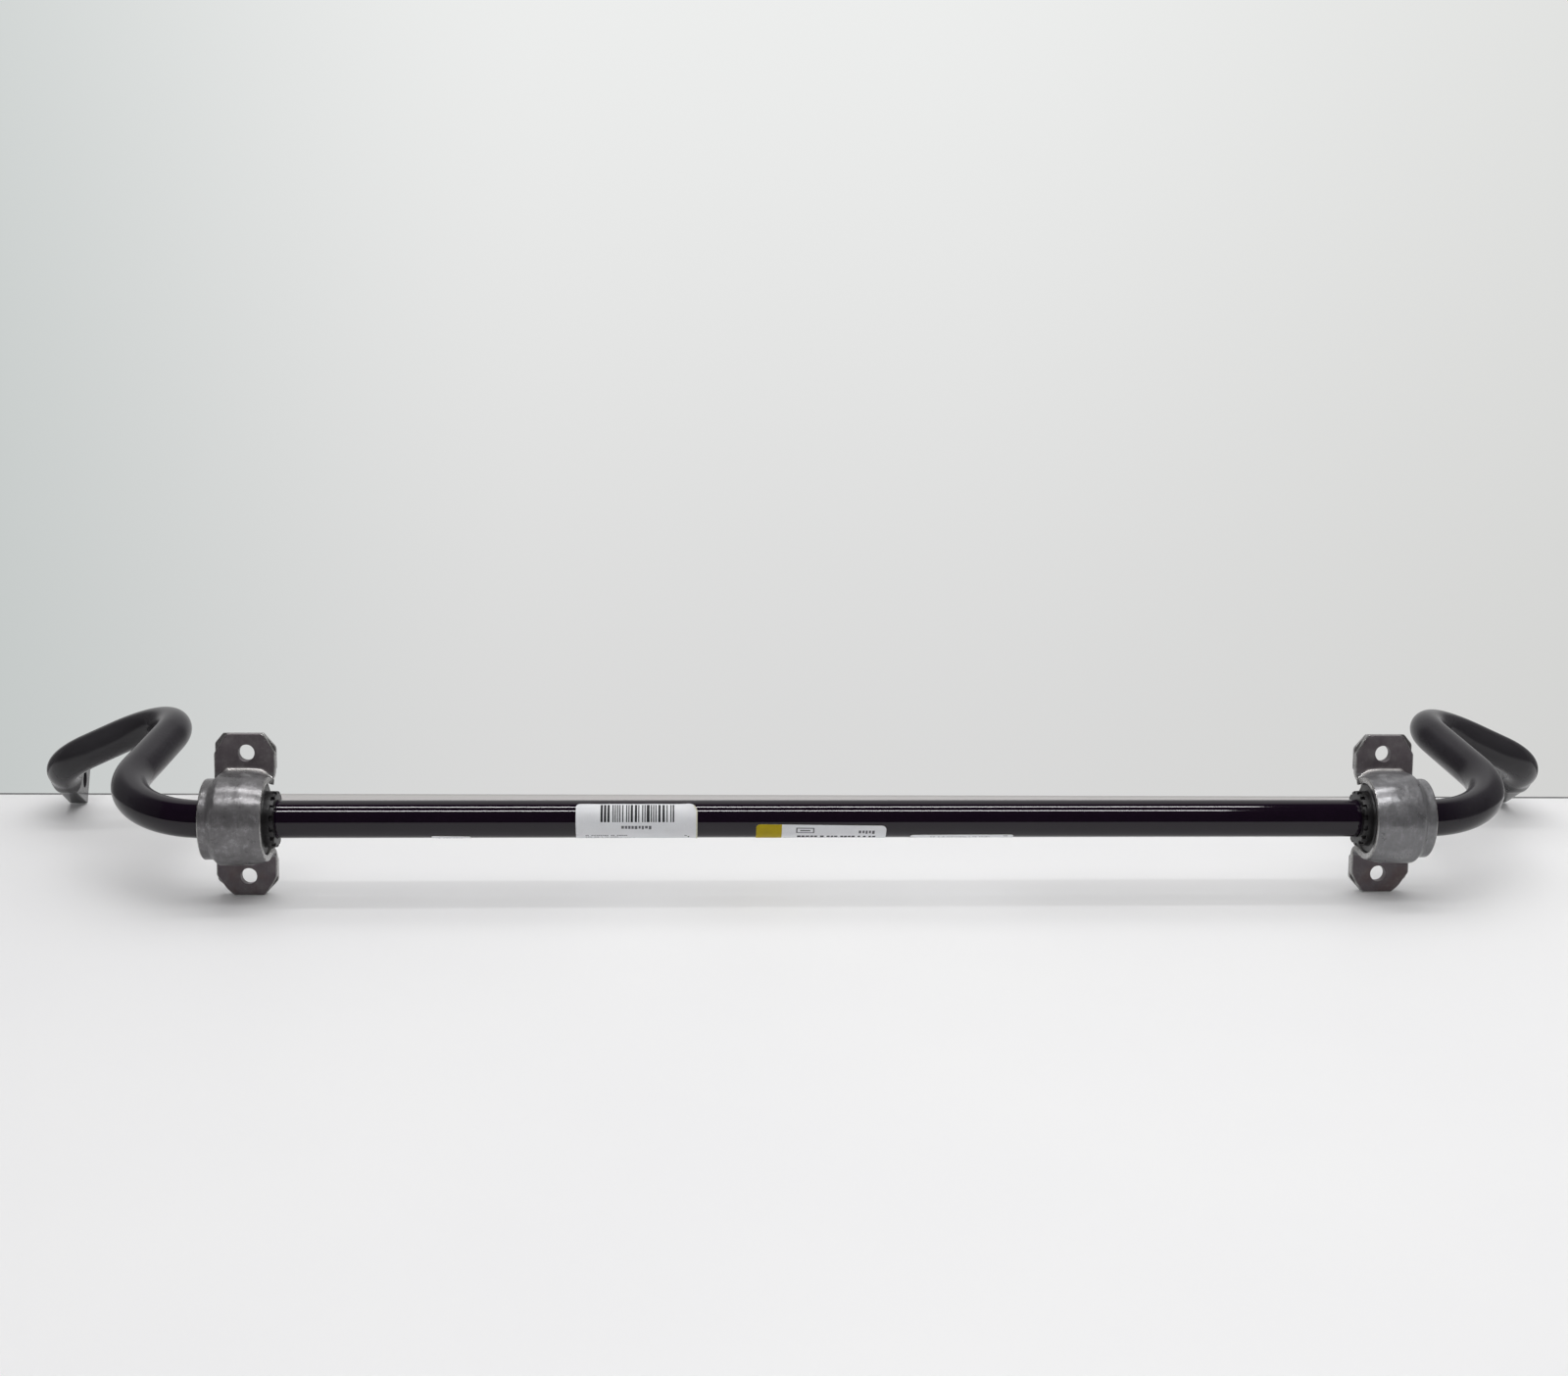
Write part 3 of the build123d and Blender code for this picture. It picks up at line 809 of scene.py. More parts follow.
def strap_outline():
    rows = strap_rows(0.0)
    nn, vv = rows[:, 0], rows[:, 1]
    lo, hi = np.zeros(len(rows)), np.zeros(len(rows))
    for i, (n, v) in enumerate(rows):
        av = abs(v)
        top = v > 0
        ci, co = ((6.8, 7.8), (7.2, 7.8)) if top else ((7.0, 7.6), (9.4, 7.9))
        ear = n > EAR_N - 2.6 and av > BAND_R - 3
        w = float(smooth(np.array((n - (EAR_N - 3.6)) / 3.0))) if av > 12 else 0.0
        l_e = -EAR_HALF + corner_cut(av, EAR_V, *ci)
        h_e = EAR_HALF - corner_cut(av, EAR_V, *co)
        # the ear's lower inboard corner is rounded into the rim
        k = np.clip((av - (BAND_R + 0.2)) / 4.2, 0, 1)
        l_e += 2.0 * (1 - math.sqrt(max(0.0, 1 - (1 - k) ** 2))) if n > EAR_N - 0.8 else 0
        lo[i] = U_IN * (1 - w) + l_e * w if ear or w > 0 else U_IN
        hi[i] = U_OUT * (1 - w) + h_e * w if ear or w > 0 else U_OUT
    return soften(lo, 1), soften(hi, 1)


def squeeze_tips(P_out, H, thick, tip_r, dist):
    """Rounds the front and back edges at both tips: depth range shrinks within tip_r of the end."""
    for i, d in enumerate(dist):
        if d < tip_r:
            k = tip_r - math.sqrt(max(0.0, tip_r ** 2 - (tip_r - d) ** 2))
            H[i] = k + H[i] * (thick - 1.5 * k) / thick
    return H


def finish_normals_shell(name, V, F, M, mats, sharp=40):
    ob = make_object(name, V, F, mats, M, sharp)
    fix_normals(ob)
    return ob


def build_strap(tag, sgn, mats):
    n_cols = 46
    lo, hi = strap_outline()
    out, nr, H, loop = slab(strap_rows, lo, hi, n_cols, STRAP_T, 0.7, 0.6)
    rows = strap_rows(0.0)
    dist = np.minimum(EAR_V - rows[:, 1], EAR_V + rows[:, 1])
    H = squeeze_tips(out, H, STRAP_T, 0.7, dist)
    V, F, M = slab_mesh(out, nr, H, STRAP_T, 0.6, 6, loop, n_cols, wave=0.10, seed=3.7 if sgn > 0 else 11.3)
    ob = finish_normals_shell("strap_" + tag, place(V, sgn), F, M, mats, 50)
    t = math.radians(TILT)
    ax = np.array((0.0, math.cos(t), -math.sin(t)))
    cutters = []
    r = BOLT_D / 2
    for sv in (1, -1):
        c = place(np.array((HOLE_U, EAR_N, HOLE_V * sv)), sgn)
        prof = [(-4.0, r + 4.4), (0.0, r + 0.40), (0.20, r + 0.14), (0.45, r), (6.0, r)]
        cutters.append(lathe(f"cut{sv}", c, ax, prof, 56))
        fix_normals(cutters[-1])
    return cut(ob, cutters, 38)


def plate_rows(u):
    """Rear plate's front surface at u, mirrored order so that its outside is the back."""
    nf = EAR_N + STRAP_T + 0.02
    r0 = DISH_R
    v0 = math.sqrt(r0 ** 2 - nf ** 2)
    a0 = math.atan2(v0, nf)
    a = np.linspace(a0, 0, 60)
    arc = np.stack([r0 * np.cos(a), r0 * np.sin(a)], -1)
    poly = np.concatenate([np.array([(nf, EAR_V), (nf, v0)]), arc[1:]])
    # offset to the back surface: the slab is built from its outside
    p = blur(poly, 0.25, 0.9)
    d = np.gradient(p, axis=0)
    d /= np.linalg.norm(d, axis=1)[:, None]
    nb = np.stack([-d[:, 1], d[:, 0]], -1)
    if nb[0, 0] < 0:
        nb = -nb
    p = p + nb * PLATE_T
    L = np.sum(np.linalg.norm(np.diff(p, axis=0), axis=1))
    s = rows_for(L, EAR_V - v0, 40, 26, 22)
    up, _ = resample(p, s)
    up[:, 1] = np.maximum(up[:, 1], 0)
    up[-1, 1] = 0.0
    dn = up[::-1][1:].copy()
    dn[:, 1] *= -1
    return np.concatenate([up, dn])


def build_plate(tag, sgn, mats):
    n_cols = 40
    rows = plate_rows(0.0)
    lo, hi = np.zeros(len(rows)), np.zeros(len(rows))
    for i, (n, v) in enumerate(rows):
        av = abs(v)
        ci, co = ((6.8, 7.8), (4.6, 5.4)) if v > 0 else ((7.0, 7.6), (9.4, 7.9))
        lo[i] = -EAR_HALF + corner_cut(av, EAR_V, *ci)
        hi[i] = EAR_HALF - corner_cut(av, EAR_V, *co)
        lo[i] = max(lo[i], -EAR_HALF + (EAR_HALF - 11.2) * float(smooth(np.array((25.0 - av) / 4.0))))
    lo, hi = soften(lo, 2), soften(hi, 2)
    out, nr, H, loop = slab(plate_rows, lo, hi, n_cols, PLATE_T, 0.5, 0.5)
    # normals must point backwards here
    if nr[:, :, 1].mean() < 0:
        nr = -nr
    dist = EAR_V - np.abs(rows[:, 1])
    H = squeeze_tips(out, H, PLATE_T, 0.5, dist)
    V, F, M = slab_mesh(out, nr, H, PLATE_T, 0.5, 6, loop, n_cols, wave=0.0)
    ob = finish_normals_shell("rear_plate_" + tag, place(V, sgn), F, M, mats, 50)
    t = math.radians(TILT)
    ax = np.array((0.0, math.cos(t), -math.sin(t)))
    cutters = []
    r = BOLT_D / 2
    for sv in (1, -1):
        c = place(np.array((HOLE_U, EAR_N + STRAP_T, HOLE_V * sv)), sgn)
        prof = [(-3.0, r), (2.05, r), (2.3, r + 0.12), (2.5, r + 0.35), (6.0, r + 3.85)]
        cutters.append(lathe(f"cut{sv}", c, ax, prof, 56))
        fix_normals(cutters[-1])
    return cut(ob, cutters, 38)


def bush_section(theta, r):
    """Radial size of the bush's outline at the angle theta (0 = back, +n) for a front radius r."""
    c, s = math.cos(theta), abs(math.sin(theta))
    if c <= 0:
        return r
    n1, n2, v2 = 9.0, 16.45, 13.6
    rr = math.hypot(n2, v2)
    lim = [rr]
    if s > 1e-6:
        lim.append(r / s)
    # slanted side from (n1, r) to (n2, v2)
    dn, dv = n2 - n1, v2 - r
    den = c * dv - s * dn
    if abs(den) > 1e-9:
        t = (n1 * dv - r * dn) / den
        if t > 0:
            lim.append(t)
    a = lim[0]
    for b in lim[1:]:
        a = float(smin(np.array(a), np.array(b), 1.0))
    return min(a, min(lim))


def build_bush(tag, sgn, mat):
    n_slot = 16
    thetas = []
    per = 2 * math.pi / n_slot
    for i in range(n_slot):
        c0 = (i + 0.5) * per
        half = 1.3 / LIP_R
        e = 0.012
        loc = [-half - e, -half, -half * 0.5, 0.0, half * 0.5, half, half + e]
        for a in loc:
            thetas.append((c0 + a, abs(a) <= half + 1e-6))
        for k in range(1, 9):
            thetas.append((c0 + half + e + (per - 2 * half - 2 * e) * k / 9, False))
    thetas.sort(key=lambda z: z[0])
    prof = []     # (u, kind, value)
    bore = BAR_R + 0.05
    prof += [(LIP_U + 0.35, "abs", bore), (LIP_U + 0.10, "abs", bore + 0.12), (LIP_U, "abs", bore + 0.40)]
    prof += [(LIP_U, "abs", bore + 1.4), (LIP_U + 0.02, "abs", 13.2), (LIP_U + 0.02, "slot", 14.7), (LIP_U + 0.12, "slot", 15.05), (LIP_U + 0.40, "slot", 15.3)]
    prof += [(LIP_U + 1.0, "slot", 15.3), (LIP_U + 1.7, "slot", 15.3), (LIP_U + 2.0, "slot", 15.3), (LIP_U + 2.08, "abs", 15.3)]
    for uu, rv in ((-17.2, 15.28), (-16.2, 15.2), (-15.2, 15.15), (-14.4, 15.2), (-13.9, 15.35), (-13.6, 15.7), (-13.45, 16.2)):
        prof.append((uu, "abs", rv))
    for uu, dr in ((-13.4, 3.4), (-13.4, 2.2), (-13.38, 1.3), (-13.25, 0.75), (-13.0, 0.35), (-12.6, 0.1), (-12.0, 0.0), (-10.5, 0.0), (-8, 0.0), (-5, 0), (-2, 0), (1, 0), (4, 0), (6.5, 0), (8.2, 0), (9.0, 0), (9.6, 0), (10.4, 0), (11.2, 0), (12.0, 0), (13.0, 0), (15.0, 0), (16.6, 0), (17.1, 0.12), (17.4, 0.4), (17.58, 0.9), (17.6, 1.6)):
        prof.append((uu, "body", dr))
    prof += [(17.6, "abs", 13.5), (17.6, "abs", bore + 0.6), (17.45, "abs", bore + 0.2), (17.1, "abs", bore)]
    for uu in np.linspace(15.0, LIP_U + 2.0, 10):
        prof.append((float(uu), "abs", bore))
    n_p, n_t = len(prof), len(thetas)
    V = np.zeros((n_t, n_p, 3))
    for i, (th, in_slot) in enumerate(thetas):
        cn, sv = math.cos(th), math.sin(th)
        for j, (uu, kind, val) in enumerate(prof):
            if kind == "abs":
                r = val
            elif kind == "slot":
                r = min(val, 13.8) if in_slot else val
            else:
                k = float(smooth(np.array((uu - 9.0) / 3.0)))
                base = BUSH_R + (BUSH_COLLAR_R - BUSH_R) * k
                base = min(base, band_radius(uu) - STRAP_T - 0.08)
                r = bush_section(th, base) - val
            if 11.0 < r and uu < -13.0:
                r += 0.06 * noise.noise(Vector((cn * 4, sv * 4, uu * 0.4 + sgn)))
            V[i, j] = (uu, r * cn, r * sv)
    F = []
    for i in range(n_t):
        a = i * n_p
        b = ((i + 1) % n_t) * n_p
        for j in range(n_p):
            k = (j + 1) % n_p
            F.append((a + j, a + k, b + k, b + j))
    ob = make_object("bush_body_" + tag, place(V.reshape(-1, 3), sgn), F, [mat], None, 42)
    fix_normals(ob)
    ob.data.set_sharp_from_angle(angle=math.radians(42))
    return ob


# ---- stickers ------------------------------------------------------------------------------------
def build_sticker(name, x0, x1, a0, a1, slope, corners, marks, mats, lift=None, seed=0.0, base_step=1.6):
    """A thin label wrapped on the bar from angle a0 (upper) to a1 (lower); slope in degrees per mm.
    marks: (xa, xb, aa, ab, material) rectangles; corners: radius mm at (top-left, top-right, bottom-right, bottom-left)."""
    xs = set(np.round(np.arange(x0, x1, base_step), 4)) | {x0, x1}
    an = set(np.round(np.arange(a1, a0, 4.0), 4)) | {a0, a1}
    for c in (0.3, 0.8, 1.5):
        xs |= {x0 + c, x1 - c}
        an |= {a0 - c * 5.5, a1 + c * 5.5}
    for xa, xb, aa, ab, _ in marks:
        xs |= {round(xa, 4), round(xb, 4)}
        an |= {round(aa, 4), round(ab, 4)}
    xs = np.array(sorted(xs)); an = np.array(sorted(an))
    xs = xs[np.concatenate([[True], np.diff(xs) > 0.02])]
    an = an[np.concatenate([[True], np.diff(an) > 0.05])]
    R0, R1 = BAR_R + 0.03, BAR_R + 0.15
    k = math.pi / 180 * BAR_R

    def inset(x, a):
        """Moves a grid point at an outer corner on to the corner's round."""
        X, A = x, a
        for cx, ca, r, sx, sa in ((x0, a0, corners[0], 1, -1), (x1, a0, corners[1], -1, -1), (x1, a1, corners[2], -1, 1), (x0, a1, corners[3], 1, 1)):
            dx, da = (x - cx) * sx, (a - ca) * sa * k
            if r > 0 and dx < r and da < r:
                # square to disc map inside the corner cell
                p, q = 1 - dx / r, 1 - da / r
                m = max(p, q)
                h = math.hypot(p, q)
                if h > 1e-9:
                    f = m / h
                    p, q = p * f, q * f
                X, A = cx + sx * r * (1 - p), ca + sa * r * (1 - q) / k
        return X, A
    nx, na = len(xs), len(an)
    top = np.zeros((nx, na, 3)); bot = np.zeros((nx, na, 3))
    xc = (x0 + x1) / 2
    for i, x in enumerate(xs):
        for j, a in enumerate(an):
            X, A = inset(x, a)
            ang = math.radians(A + slope * (X - xc))
            d = 0.0
            if lift:
                d = lift(X, A)
            w = 0.022 * noise.noise(Vector((X * 0.21 + seed, A * 0.045, 1.7))) + 0.010 * noise.noise(Vector((X * 0.9 + seed, A * 0.2, 4.1)))
            w += 0.012
            for arr, r in ((top, R1), (bot, R0)):
                rr = r + d + max(0.0, w)
                arr[i, j] = (X, -rr * math.cos(ang) + AXIS_Y, rr * math.sin(ang) + AXIS_Z)
    V = np.concatenate([top.reshape(-1, 3), bot.reshape(-1, 3)])
    n = nx * na
    F, M = [], []
    for i in range(nx - 1):
        for j in range(na - 1):
            a, b, c, d = i * na + j, (i + 1) * na + j, (i + 1) * na + j + 1, i * na + j + 1
            F.append((a, b, c, d))
            mx, ma = (xs[i] + xs[i + 1]) / 2, (an[j] + an[j + 1]) / 2
            mi = 0
            for xa, xb, aa, ab, mm in marks:
                if xa <= mx <= xb and min(aa, ab) <= ma <= max(aa, ab):
                    mi = mm
            M.append(mi)
            F.append((n + a, n + d, n + c, n + b))
            M.append(1)
    ring = [(i, 0) for i in range(nx)] + [(nx - 1, j) for j in range(1, na)] + [(i, na - 1) for i in range(nx - 2, -1, -1)] + [(0, j) for j in range(na - 2, 0, -1)]
    for q in range(len(ring)):
        a = ring[q][0] * na + ring[q][1]
        b = ring[(q + 1) % len(ring)][0] * na + ring[(q + 1) % len(ring)][1]
        F.append((b, a, n + a, n + b))
        M.append(1)
    ob = make_object(name, V, F, mats, M, 50)
    fix_normals(ob)
    return ob


rng = random.Random(20)


def stripes(x0, x1, a0, a1, mat):
    """A made-up run of upright bars."""
    out, x, module = [], x0, 0.62
    while x < x1 - 0.4:
        w = module * rng.choice((1, 1, 2, 1, 2.6, 2))
        out.append((x, min(x + w, x1), a0, a1, mat))
        x += w + module * rng.choice((1, 1, 1.6, 1, 2.4))
    return out


def greek(x0, x1, a, h, mat, glyph=0.9, gap=0.5, word=0.22):
    """A line of dull word blocks that stands for small print."""
    out, x = [], x0
    while x < x1 - 0.3:
        w = glyph * rng.uniform(0.7, 1.25)
        d = h * rng.uniform(0.75, 1.0)
        out.append((x, min(x + w, x1), a, a - d, mat))
        x += w + gap * rng.uniform(0.8, 1.2)
        if rng.random() < word:
            x += 1.1
    return out


# ---- build everything --------------------------------------------------------------------------------
bar = build_bar([bar_paint(), arm_paint()])
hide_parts("stabilizer_bar")
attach(bar, "bar")

for tag, sgn in (("left", -1), ("right", 1)):
    steel, shear, pl, rb = strap_steel(sgn, tag), sheared_steel(sgn, tag), plate_steel(sgn, tag), rubber(sgn, tag)
    strap = build_strap(tag, sgn, [steel, shear])
    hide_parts("bracket_strap_" + tag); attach(strap, "bracket_" + tag)
    plate = build_plate(tag, sgn, [pl, shear])
    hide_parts("bracket_plate_" + tag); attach(plate, "bracket_" + tag)
    bush = build_bush(tag, sgn, rb)
    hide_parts("bush_" + tag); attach(bush, "bracket_" + tag)

paper_m, edge_m = paper(), paper_edge()
black_ink = ink("print_black", (0.012, 0.012, 0.015), (0.20, 0.20, 0.21))
grey_ink = ink("print_grey", (0.11, 0.11, 0.12), (0.42, 0.42, 0.43))
yellow = ink("print_yellow", (0.36, 0.27, 0.003), (0.46, 0.37, 0.03))
LABEL_MATS = [paper_m, edge_m, black_ink, grey_ink, yellow]


def barcode_lift(x, a):
    e = max(0.0, (x - (-79.5)) / 9.3)              # towards the right-hand edge
    t = max(0.0, (a - 30.0) / 32.0)                # towards the top edge
    curl = 0.85 * (smooth(np.array(e)) ** 1.5) * (smooth(np.array(t)) ** 1.3)
    edge = 0.22 * float(smooth(np.array((x + 73.0) / 2.8)))
    ripple = 0.10 * max(0.0, (a - 48) / 14.0) * (0.5 + 0.5 * math.sin(x * 0.33 + 1.0))
    return float(curl) + edge + ripple


def turn_label(ob, deg):
    """Turns a label about the bar's axis, upwards on the side that faces -Y."""
    c, s = math.cos(math.radians(deg)), math.sin(math.radians(deg))
    for v in ob.data.vertices:
        y, z = v.co.y - AXIS_Y * MM, v.co.z - AXIS_Z * MM
        v.co.y, v.co.z = AXIS_Y * MM + y * c + z * s, AXIS_Z * MM + z * c - y * s
    ob.data.update()


marks = stripes(-122.8, -82.8, 57.7, 1.8, 2)
marks += greek(-111.5, -94.5, -9.5, 11.5, 3, glyph=1.25, gap=0.55, word=0.0)
marks += greek(-131.0, -108.0, -45.0, 5.5, 3, glyph=0.9, gap=0.3)
marks += greek(-131.0, -113.0, -56.0, 5.0, 3, glyph=0.9, gap=0.3)
marks += greek(-131.0, -104.0, -67.0, 5.0, 3, glyph=0.9, gap=0.3)
marks += [(-77.2, -75.9, -46.0, -50.0, 3), (-75.4, -74.6, -52.0, -60.0, 2), (-70.9, -70.2, 62.0, -106.0, 1)]
s1 = build_sticker("barcode_label", -136.2, -70.2, 62.0, -106.0, 0.0, (2.4, 5.6, 2.2, 2.2), marks, LABEL_MATS, barcode_lift, 1.0)
turn_label(s1, 4.5)
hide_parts("barcode_sticker")

marks = [(-38.1, -24.0, -6.5, -142.0, 4)]
marks += [(-16.2, -6.2, -16.0, -19.0, 3), (-16.2, -6.2, -33.0, -36.0, 3), (-16.2, -15.5, -16.0, -36.0, 3), (-6.9, -6.2, -16.0, -36.0, 3)]
marks += [(-14.0, -8.4, -24.0, -28.5, 3)]
marks += greek(18.2, 27.0, -24.0, 14.0, 3, glyph=1.5, gap=0.6, word=0.0)
marks += greek(-15.5, 28.5, -49.0, 13.0, 2, glyph=1.7, gap=0.55, word=0.35)
marks += greek(-15.5, 18.0, -70.0, 5.5, 3, glyph=1.1, gap=0.4)
marks += greek(-15.5, 22.0, -84.0, 5.5, 3, glyph=1.1, gap=0.4)
marks += stripes(-14.0, 24.0, -98.0, -124.0, 2)
s2 = build_sticker("part_label", -38.1, 33.3, -6.5, -142.0, -0.073, (2.2, 2.4, 2.2, 2.2), marks, LABEL_MATS, None, 5.0)
turn_label(s2, 3.5)
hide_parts("part_sticker")

marks = greek(58.0, 91.0, -61.0, 4.5, 3, glyph=1.0, gap=0.35)
marks += greek(58.0, 84.0, -76.0, 5.5, 3, glyph=1.0, gap=0.35)
marks += greek(58.0, 88.0, -91.0, 5.5, 3, glyph=1.0, gap=0.35) + [(98.4, 101.0, -54.5, -58.5, 3)]
s3 = build_sticker("lower_label", 46.9, 104.1, -48.0, -170.0, 0.02, (2.0, 1.6, 2.0, 2.0), marks, LABEL_MATS, None, 9.0)
turn_label(s3, 6.5)
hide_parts("lower_sticker")

s4 = build_sticker("small_label", -214.5, -193.4, -47.5, -120.0, -0.16, (1.2, 1.2, 1.2, 1.2),
                   greek(-211.0, -197.5, -64.0, 6.0, 3, glyph=1.0, gap=0.4) + greek(-211.0, -199.0, -80.0, 6.0, 3, glyph=1.0, gap=0.4), LABEL_MATS, None, 13.0)
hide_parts("small_sticker")
for s in (s1, s2, s3, s4):
    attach(s, "bar")


# ---- stage: table top, world, lights --------------------------------------------------------------------
def floor_material():
    m = Nodes("table_white")
    p = m.coords()
    c = m.noise(p, 3.0, 3, 0.5)
    f = m.noise(p, 700, 2, 0.5)
    xy = m.xyz(p)
    # Painted shadow: the table's colour is darkened close to its far edge behind the middle of the bar.
    dim = m.math("MULTIPLY", m.remap(xy[1], 0.094, 0.108), m.remap(m.math("ABSOLUTE", xy[0]), 0.42, 0.34))
    col = m.ramp(c, (0.35, (0.86, 0.86, 0.865)), (0.65, (0.88, 0.88, 0.88)))
    col = m.mix(m.math("MULTIPLY", dim, 0.85), col, (0.46, 0.44, 0.43))
    m.set(Base_Color=col, Roughness=0.55,
          Normal=m.bump(f, 0.00001, 0.4), IOR=1.4)
    return m.mat


def floor_mesh():
    xs = np.linspace(-3.0, 3.0, 61)
    back = lambda x: 0.1186 - 0.0050 * x / 0.5   # the far edge runs very slightly askew
    V, F = [], []
    for x in xs:
        yb = back(max(-0.8, min(0.8, x)))
        for y in (-0.60, -0.45, -0.25, -0.1, 0.0, 0.06, yb):
            V.append((x, y, 0.0))
    n = 7
    for i in range(len(xs) - 1):
        for j in range(n - 1):
            F.append((i * n + j, (i + 1) * n + j, (i + 1) * n + j + 1, i * n + j + 1))
    me = bpy.data.meshes.new("table_top")
    me.from_pydata(V, [], F)
    me.materials.append(floor_material())
    ob = bpy.data.objects.new("table_top", me)
    scene.collection.objects.link(ob)
    return ob


def table_edge_shade_mesh():
    """A dark strip along the table's far edge: painted shade where the table meets the backdrop."""
    m = Nodes("table_edge_shade")
    p = m.coords()
    f = m.noise(p, 60, 3, 0.6)
    # Painted shade: a dark strip lying flat past the table's far edge stands for the shade in the corner where the
    # table meets the backdrop.
    col = m.ramp(f, (0.3, (0.11, 0.11, 0.115)), (0.7, (0.18, 0.18, 0.18)))
    shade_fade = m.remap(m.math("ABSOLUTE", m.xyz(p)[0]), 0.42, 0.34)   # the painted shade is lighter along the middle
    col = m.mix(shade_fade, col, (0.45, 0.44, 0.43))
    m.set(Base_Color=col, Roughness=0.8,
          Normal=m.bump(f, 0.0001, 0.5))
    V, F = [], []
    xs = np.linspace(-3.0, 3.0, 31)
    for x in xs:
        yb = 0.1186 - 0.0050 * max(-0.8, min(0.8, x)) / 0.5
        V += [(x, yb, 0.0), (x, yb + 0.0036, 0.0)]
    for i in range(len(xs) - 1):
        F.append((2 * i, 2 * i + 2, 2 * i + 3, 2 * i + 1))
    me = bpy.data.meshes.new("table_edge_shade")
    me.from_pydata(V, [], F)
    me.materials.append(m.mat)
    ob = bpy.data.objects.new("table_edge_shade", me)
    scene.collection.objects.link(ob)
    return ob


floor = floor_mesh()
table_edge_shade_mesh()


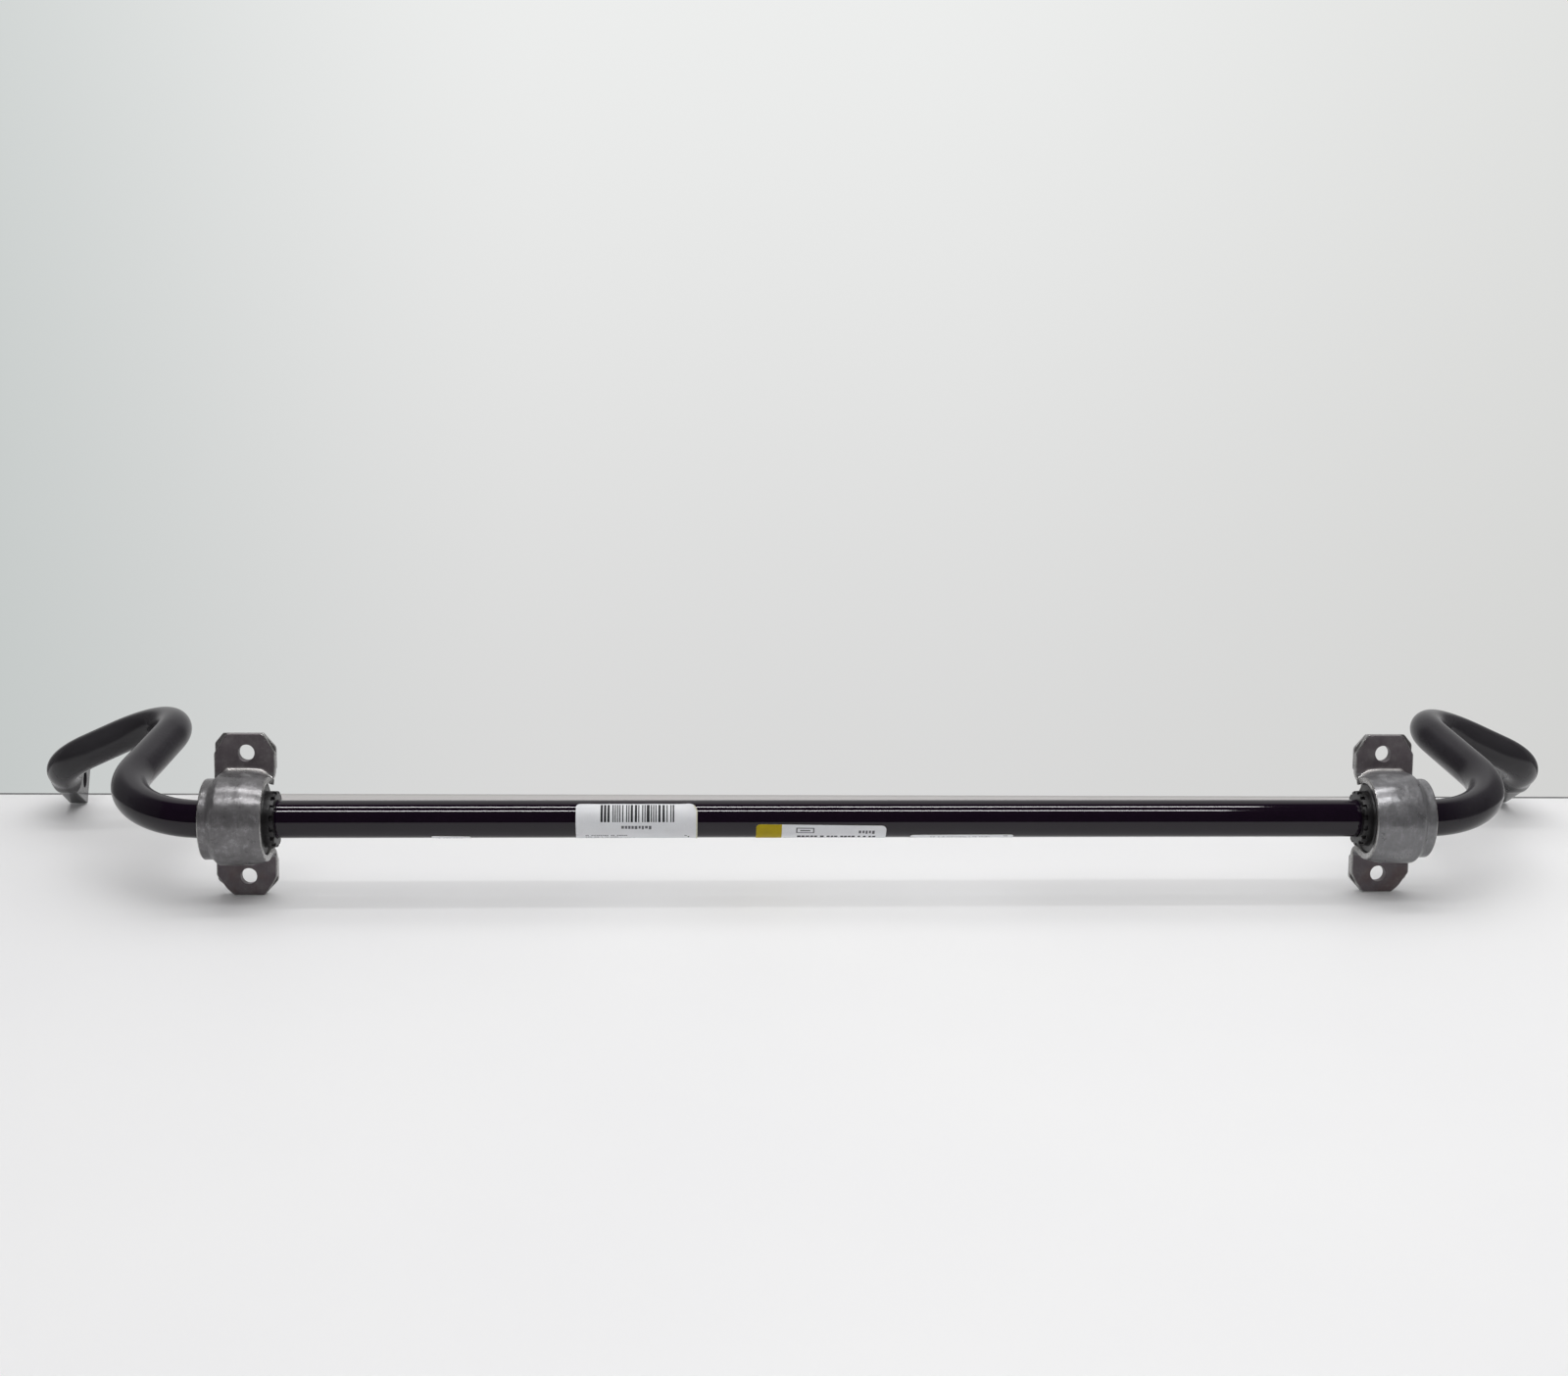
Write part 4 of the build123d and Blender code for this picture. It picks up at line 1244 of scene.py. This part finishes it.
def world():
    w = bpy.data.worlds.new("studio")
    scene.world = w
    w.use_nodes = True
    nt = w.node_tree
    nt.nodes.clear()
    out = nt.nodes.new("ShaderNodeOutputWorld")
    bg = nt.nodes.new("ShaderNodeBackground")
    nt.links.new(bg.outputs[0], out.inputs[0])
    tc = nt.nodes.new("ShaderNodeTexCoord")
    sep = nt.nodes.new("ShaderNodeSeparateXYZ")
    nt.links.new(tc.outputs["Generated"], sep.inputs[0])
    X, Y, Z = sep.outputs

    def mth(op, a, b=None, clamp=False):
        n = nt.nodes.new("ShaderNodeMath")
        n.operation, n.use_clamp = op, clamp
        for i, v in enumerate((a, b)):
            if v is None:
                continue
            if isinstance(v, (int, float)):
                n.inputs[i].default_value = v
            else:
                nt.links.new(v, n.inputs[i])
        return n.outputs[0]

    def rng_(v, a, b, c=0.0, d=1.0):
        n = nt.nodes.new("ShaderNodeMapRange")
        n.interpolation_type = "SMOOTHSTEP"
        nt.links.new(v, n.inputs["Value"])
        n.inputs["From Min"].default_value, n.inputs["From Max"].default_value = a, b
        n.inputs["To Min"].default_value, n.inputs["To Max"].default_value = c, d
        return n.outputs["Result"]

    def mixc(f, a, b):
        n = nt.nodes.new("ShaderNodeMix")
        n.data_type = "RGBA"
        for sock, v in ((n.inputs[0], f), (n.inputs[6], a), (n.inputs[7], b)):
            if isinstance(v, tuple):
                sock.default_value = (*v, 1)
            elif isinstance(v, (int, float)):
                sock.default_value = v
            else:
                nt.links.new(v, sock)
        return n.outputs[2]
    # what surfaces are lit by: a light wall behind (up to 65 degrees), a dim room in front and above
    ang = mth("ARCTAN2", Z, Y)
    wall = rng_(ang, math.radians(69), math.radians(62.5))
    under = rng_(ang, math.radians(-100), math.radians(-85))
    wall = mth("MULTIPLY", wall, under)
    lit = mixc(wall, (0.085, 0.078, 0.086), (0.60, 0.60, 0.60))
    # what stands behind the object in a picture: the same light wall all round
    vert = rng_(Z, -0.35, 0.25)
    seen = mixc(vert, (0.685, 0.685, 0.682), (0.870, 0.880, 0.872))
    left = rng_(X, -0.05, -0.50)
    seen = mixc(mth("MULTIPLY", left, mth("SUBTRACT", 0.95, mth("MULTIPLY", vert, 0.11))), seen, (0.47, 0.515, 0.505))
    right = rng_(X, 0.10, 0.50)
    seen = mixc(mth("MULTIPLY", right, 0.35), seen, (0.56, 0.565, 0.54))
    lp = nt.nodes.new("ShaderNodeLightPath")
    # the lit part of the wall is only so wide: glossy surfaces that look well to the side see it fall away
    side = rng_(mth("ARCTAN2", mth("ABSOLUTE", X), Y), math.radians(26), math.radians(50))
    lit = mixc(mth("MULTIPLY", mth("MULTIPLY", side, 0.80), lp.outputs["Is Glossy Ray"]), lit, (0.070, 0.066, 0.070))
    lit = mixc(mth("MULTIPLY", lp.outputs["Is Diffuse Ray"], 0.58), lit, (0.0, 0.0, 0.0))
    col = mixc(lp.outputs["Is Camera Ray"], lit, seen)
    nt.links.new(col, bg.inputs["Color"])
    bg.inputs["Strength"].default_value = 1.0


world()


def area(name, loc, target, sx, sy, watts, color=(1, 1, 1), glossy=True, spread=180.0):
    d = bpy.data.lights.new(name, "AREA")
    d.shape, d.size, d.size_y = "RECTANGLE", sx, sy
    d.energy, d.color = watts, color
    d.spread = math.radians(spread)
    o = bpy.data.objects.new(name, d)
    scene.collection.objects.link(o)
    o.location = loc
    dirv = (Vector(target) - Vector(loc)).normalized()
    up = Vector((1, 0, 0))
    z = -dirv
    x = (up - z * up.dot(z)).normalized()
    y = z.cross(x)
    o.matrix_world = Matrix(((x.x, y.x, z.x, loc[0]), (x.y, y.y, z.y, loc[1]), (x.z, y.z, z.z, loc[2]), (0, 0, 0, 1)))
    o.visible_camera = False
    o.visible_glossy = glossy
    return o


H = 1.30
BAR_AT = (0.0, AXIS_Y * MM, AXIS_Z * MM)
OVER = (-0.02, BAR_AT[1] + H * math.tan(math.radians(2.4)), BAR_AT[2] + H)
FRONT = (-0.02, BAR_AT[1] - H / math.tan(math.radians(65.0)), BAR_AT[2] + H)
for _n, _at, _wg, _wd in (("over", OVER, 9.5, 2.4), ("front", FRONT, 10.5, 3.0)):
    _g = area("strip_" + _n + "_sheen", _at, BAR_AT, 1.30, 0.05, _wg)
    _g.visible_diffuse = False
    area("strip_" + _n, _at, BAR_AT, 1.30, 0.05, _wd, glossy=False)
area("soft_top", (0.30, 0.0, 1.7), (0.10, 0.0, 0.0), 3.2, 3.2, 42.0, glossy=False).data.use_shadow = False
area("soft_front", (0.4, -2.2, 1.2), (0.0, 0.0, 0.0), 3.0, 1.6, 5.0, glossy=False).data.use_shadow = False

scene.view_settings.view_transform = "Standard"
scene.view_settings.look = "None"
scene.view_settings.exposure = 0.0
scene.view_settings.gamma = 1.0
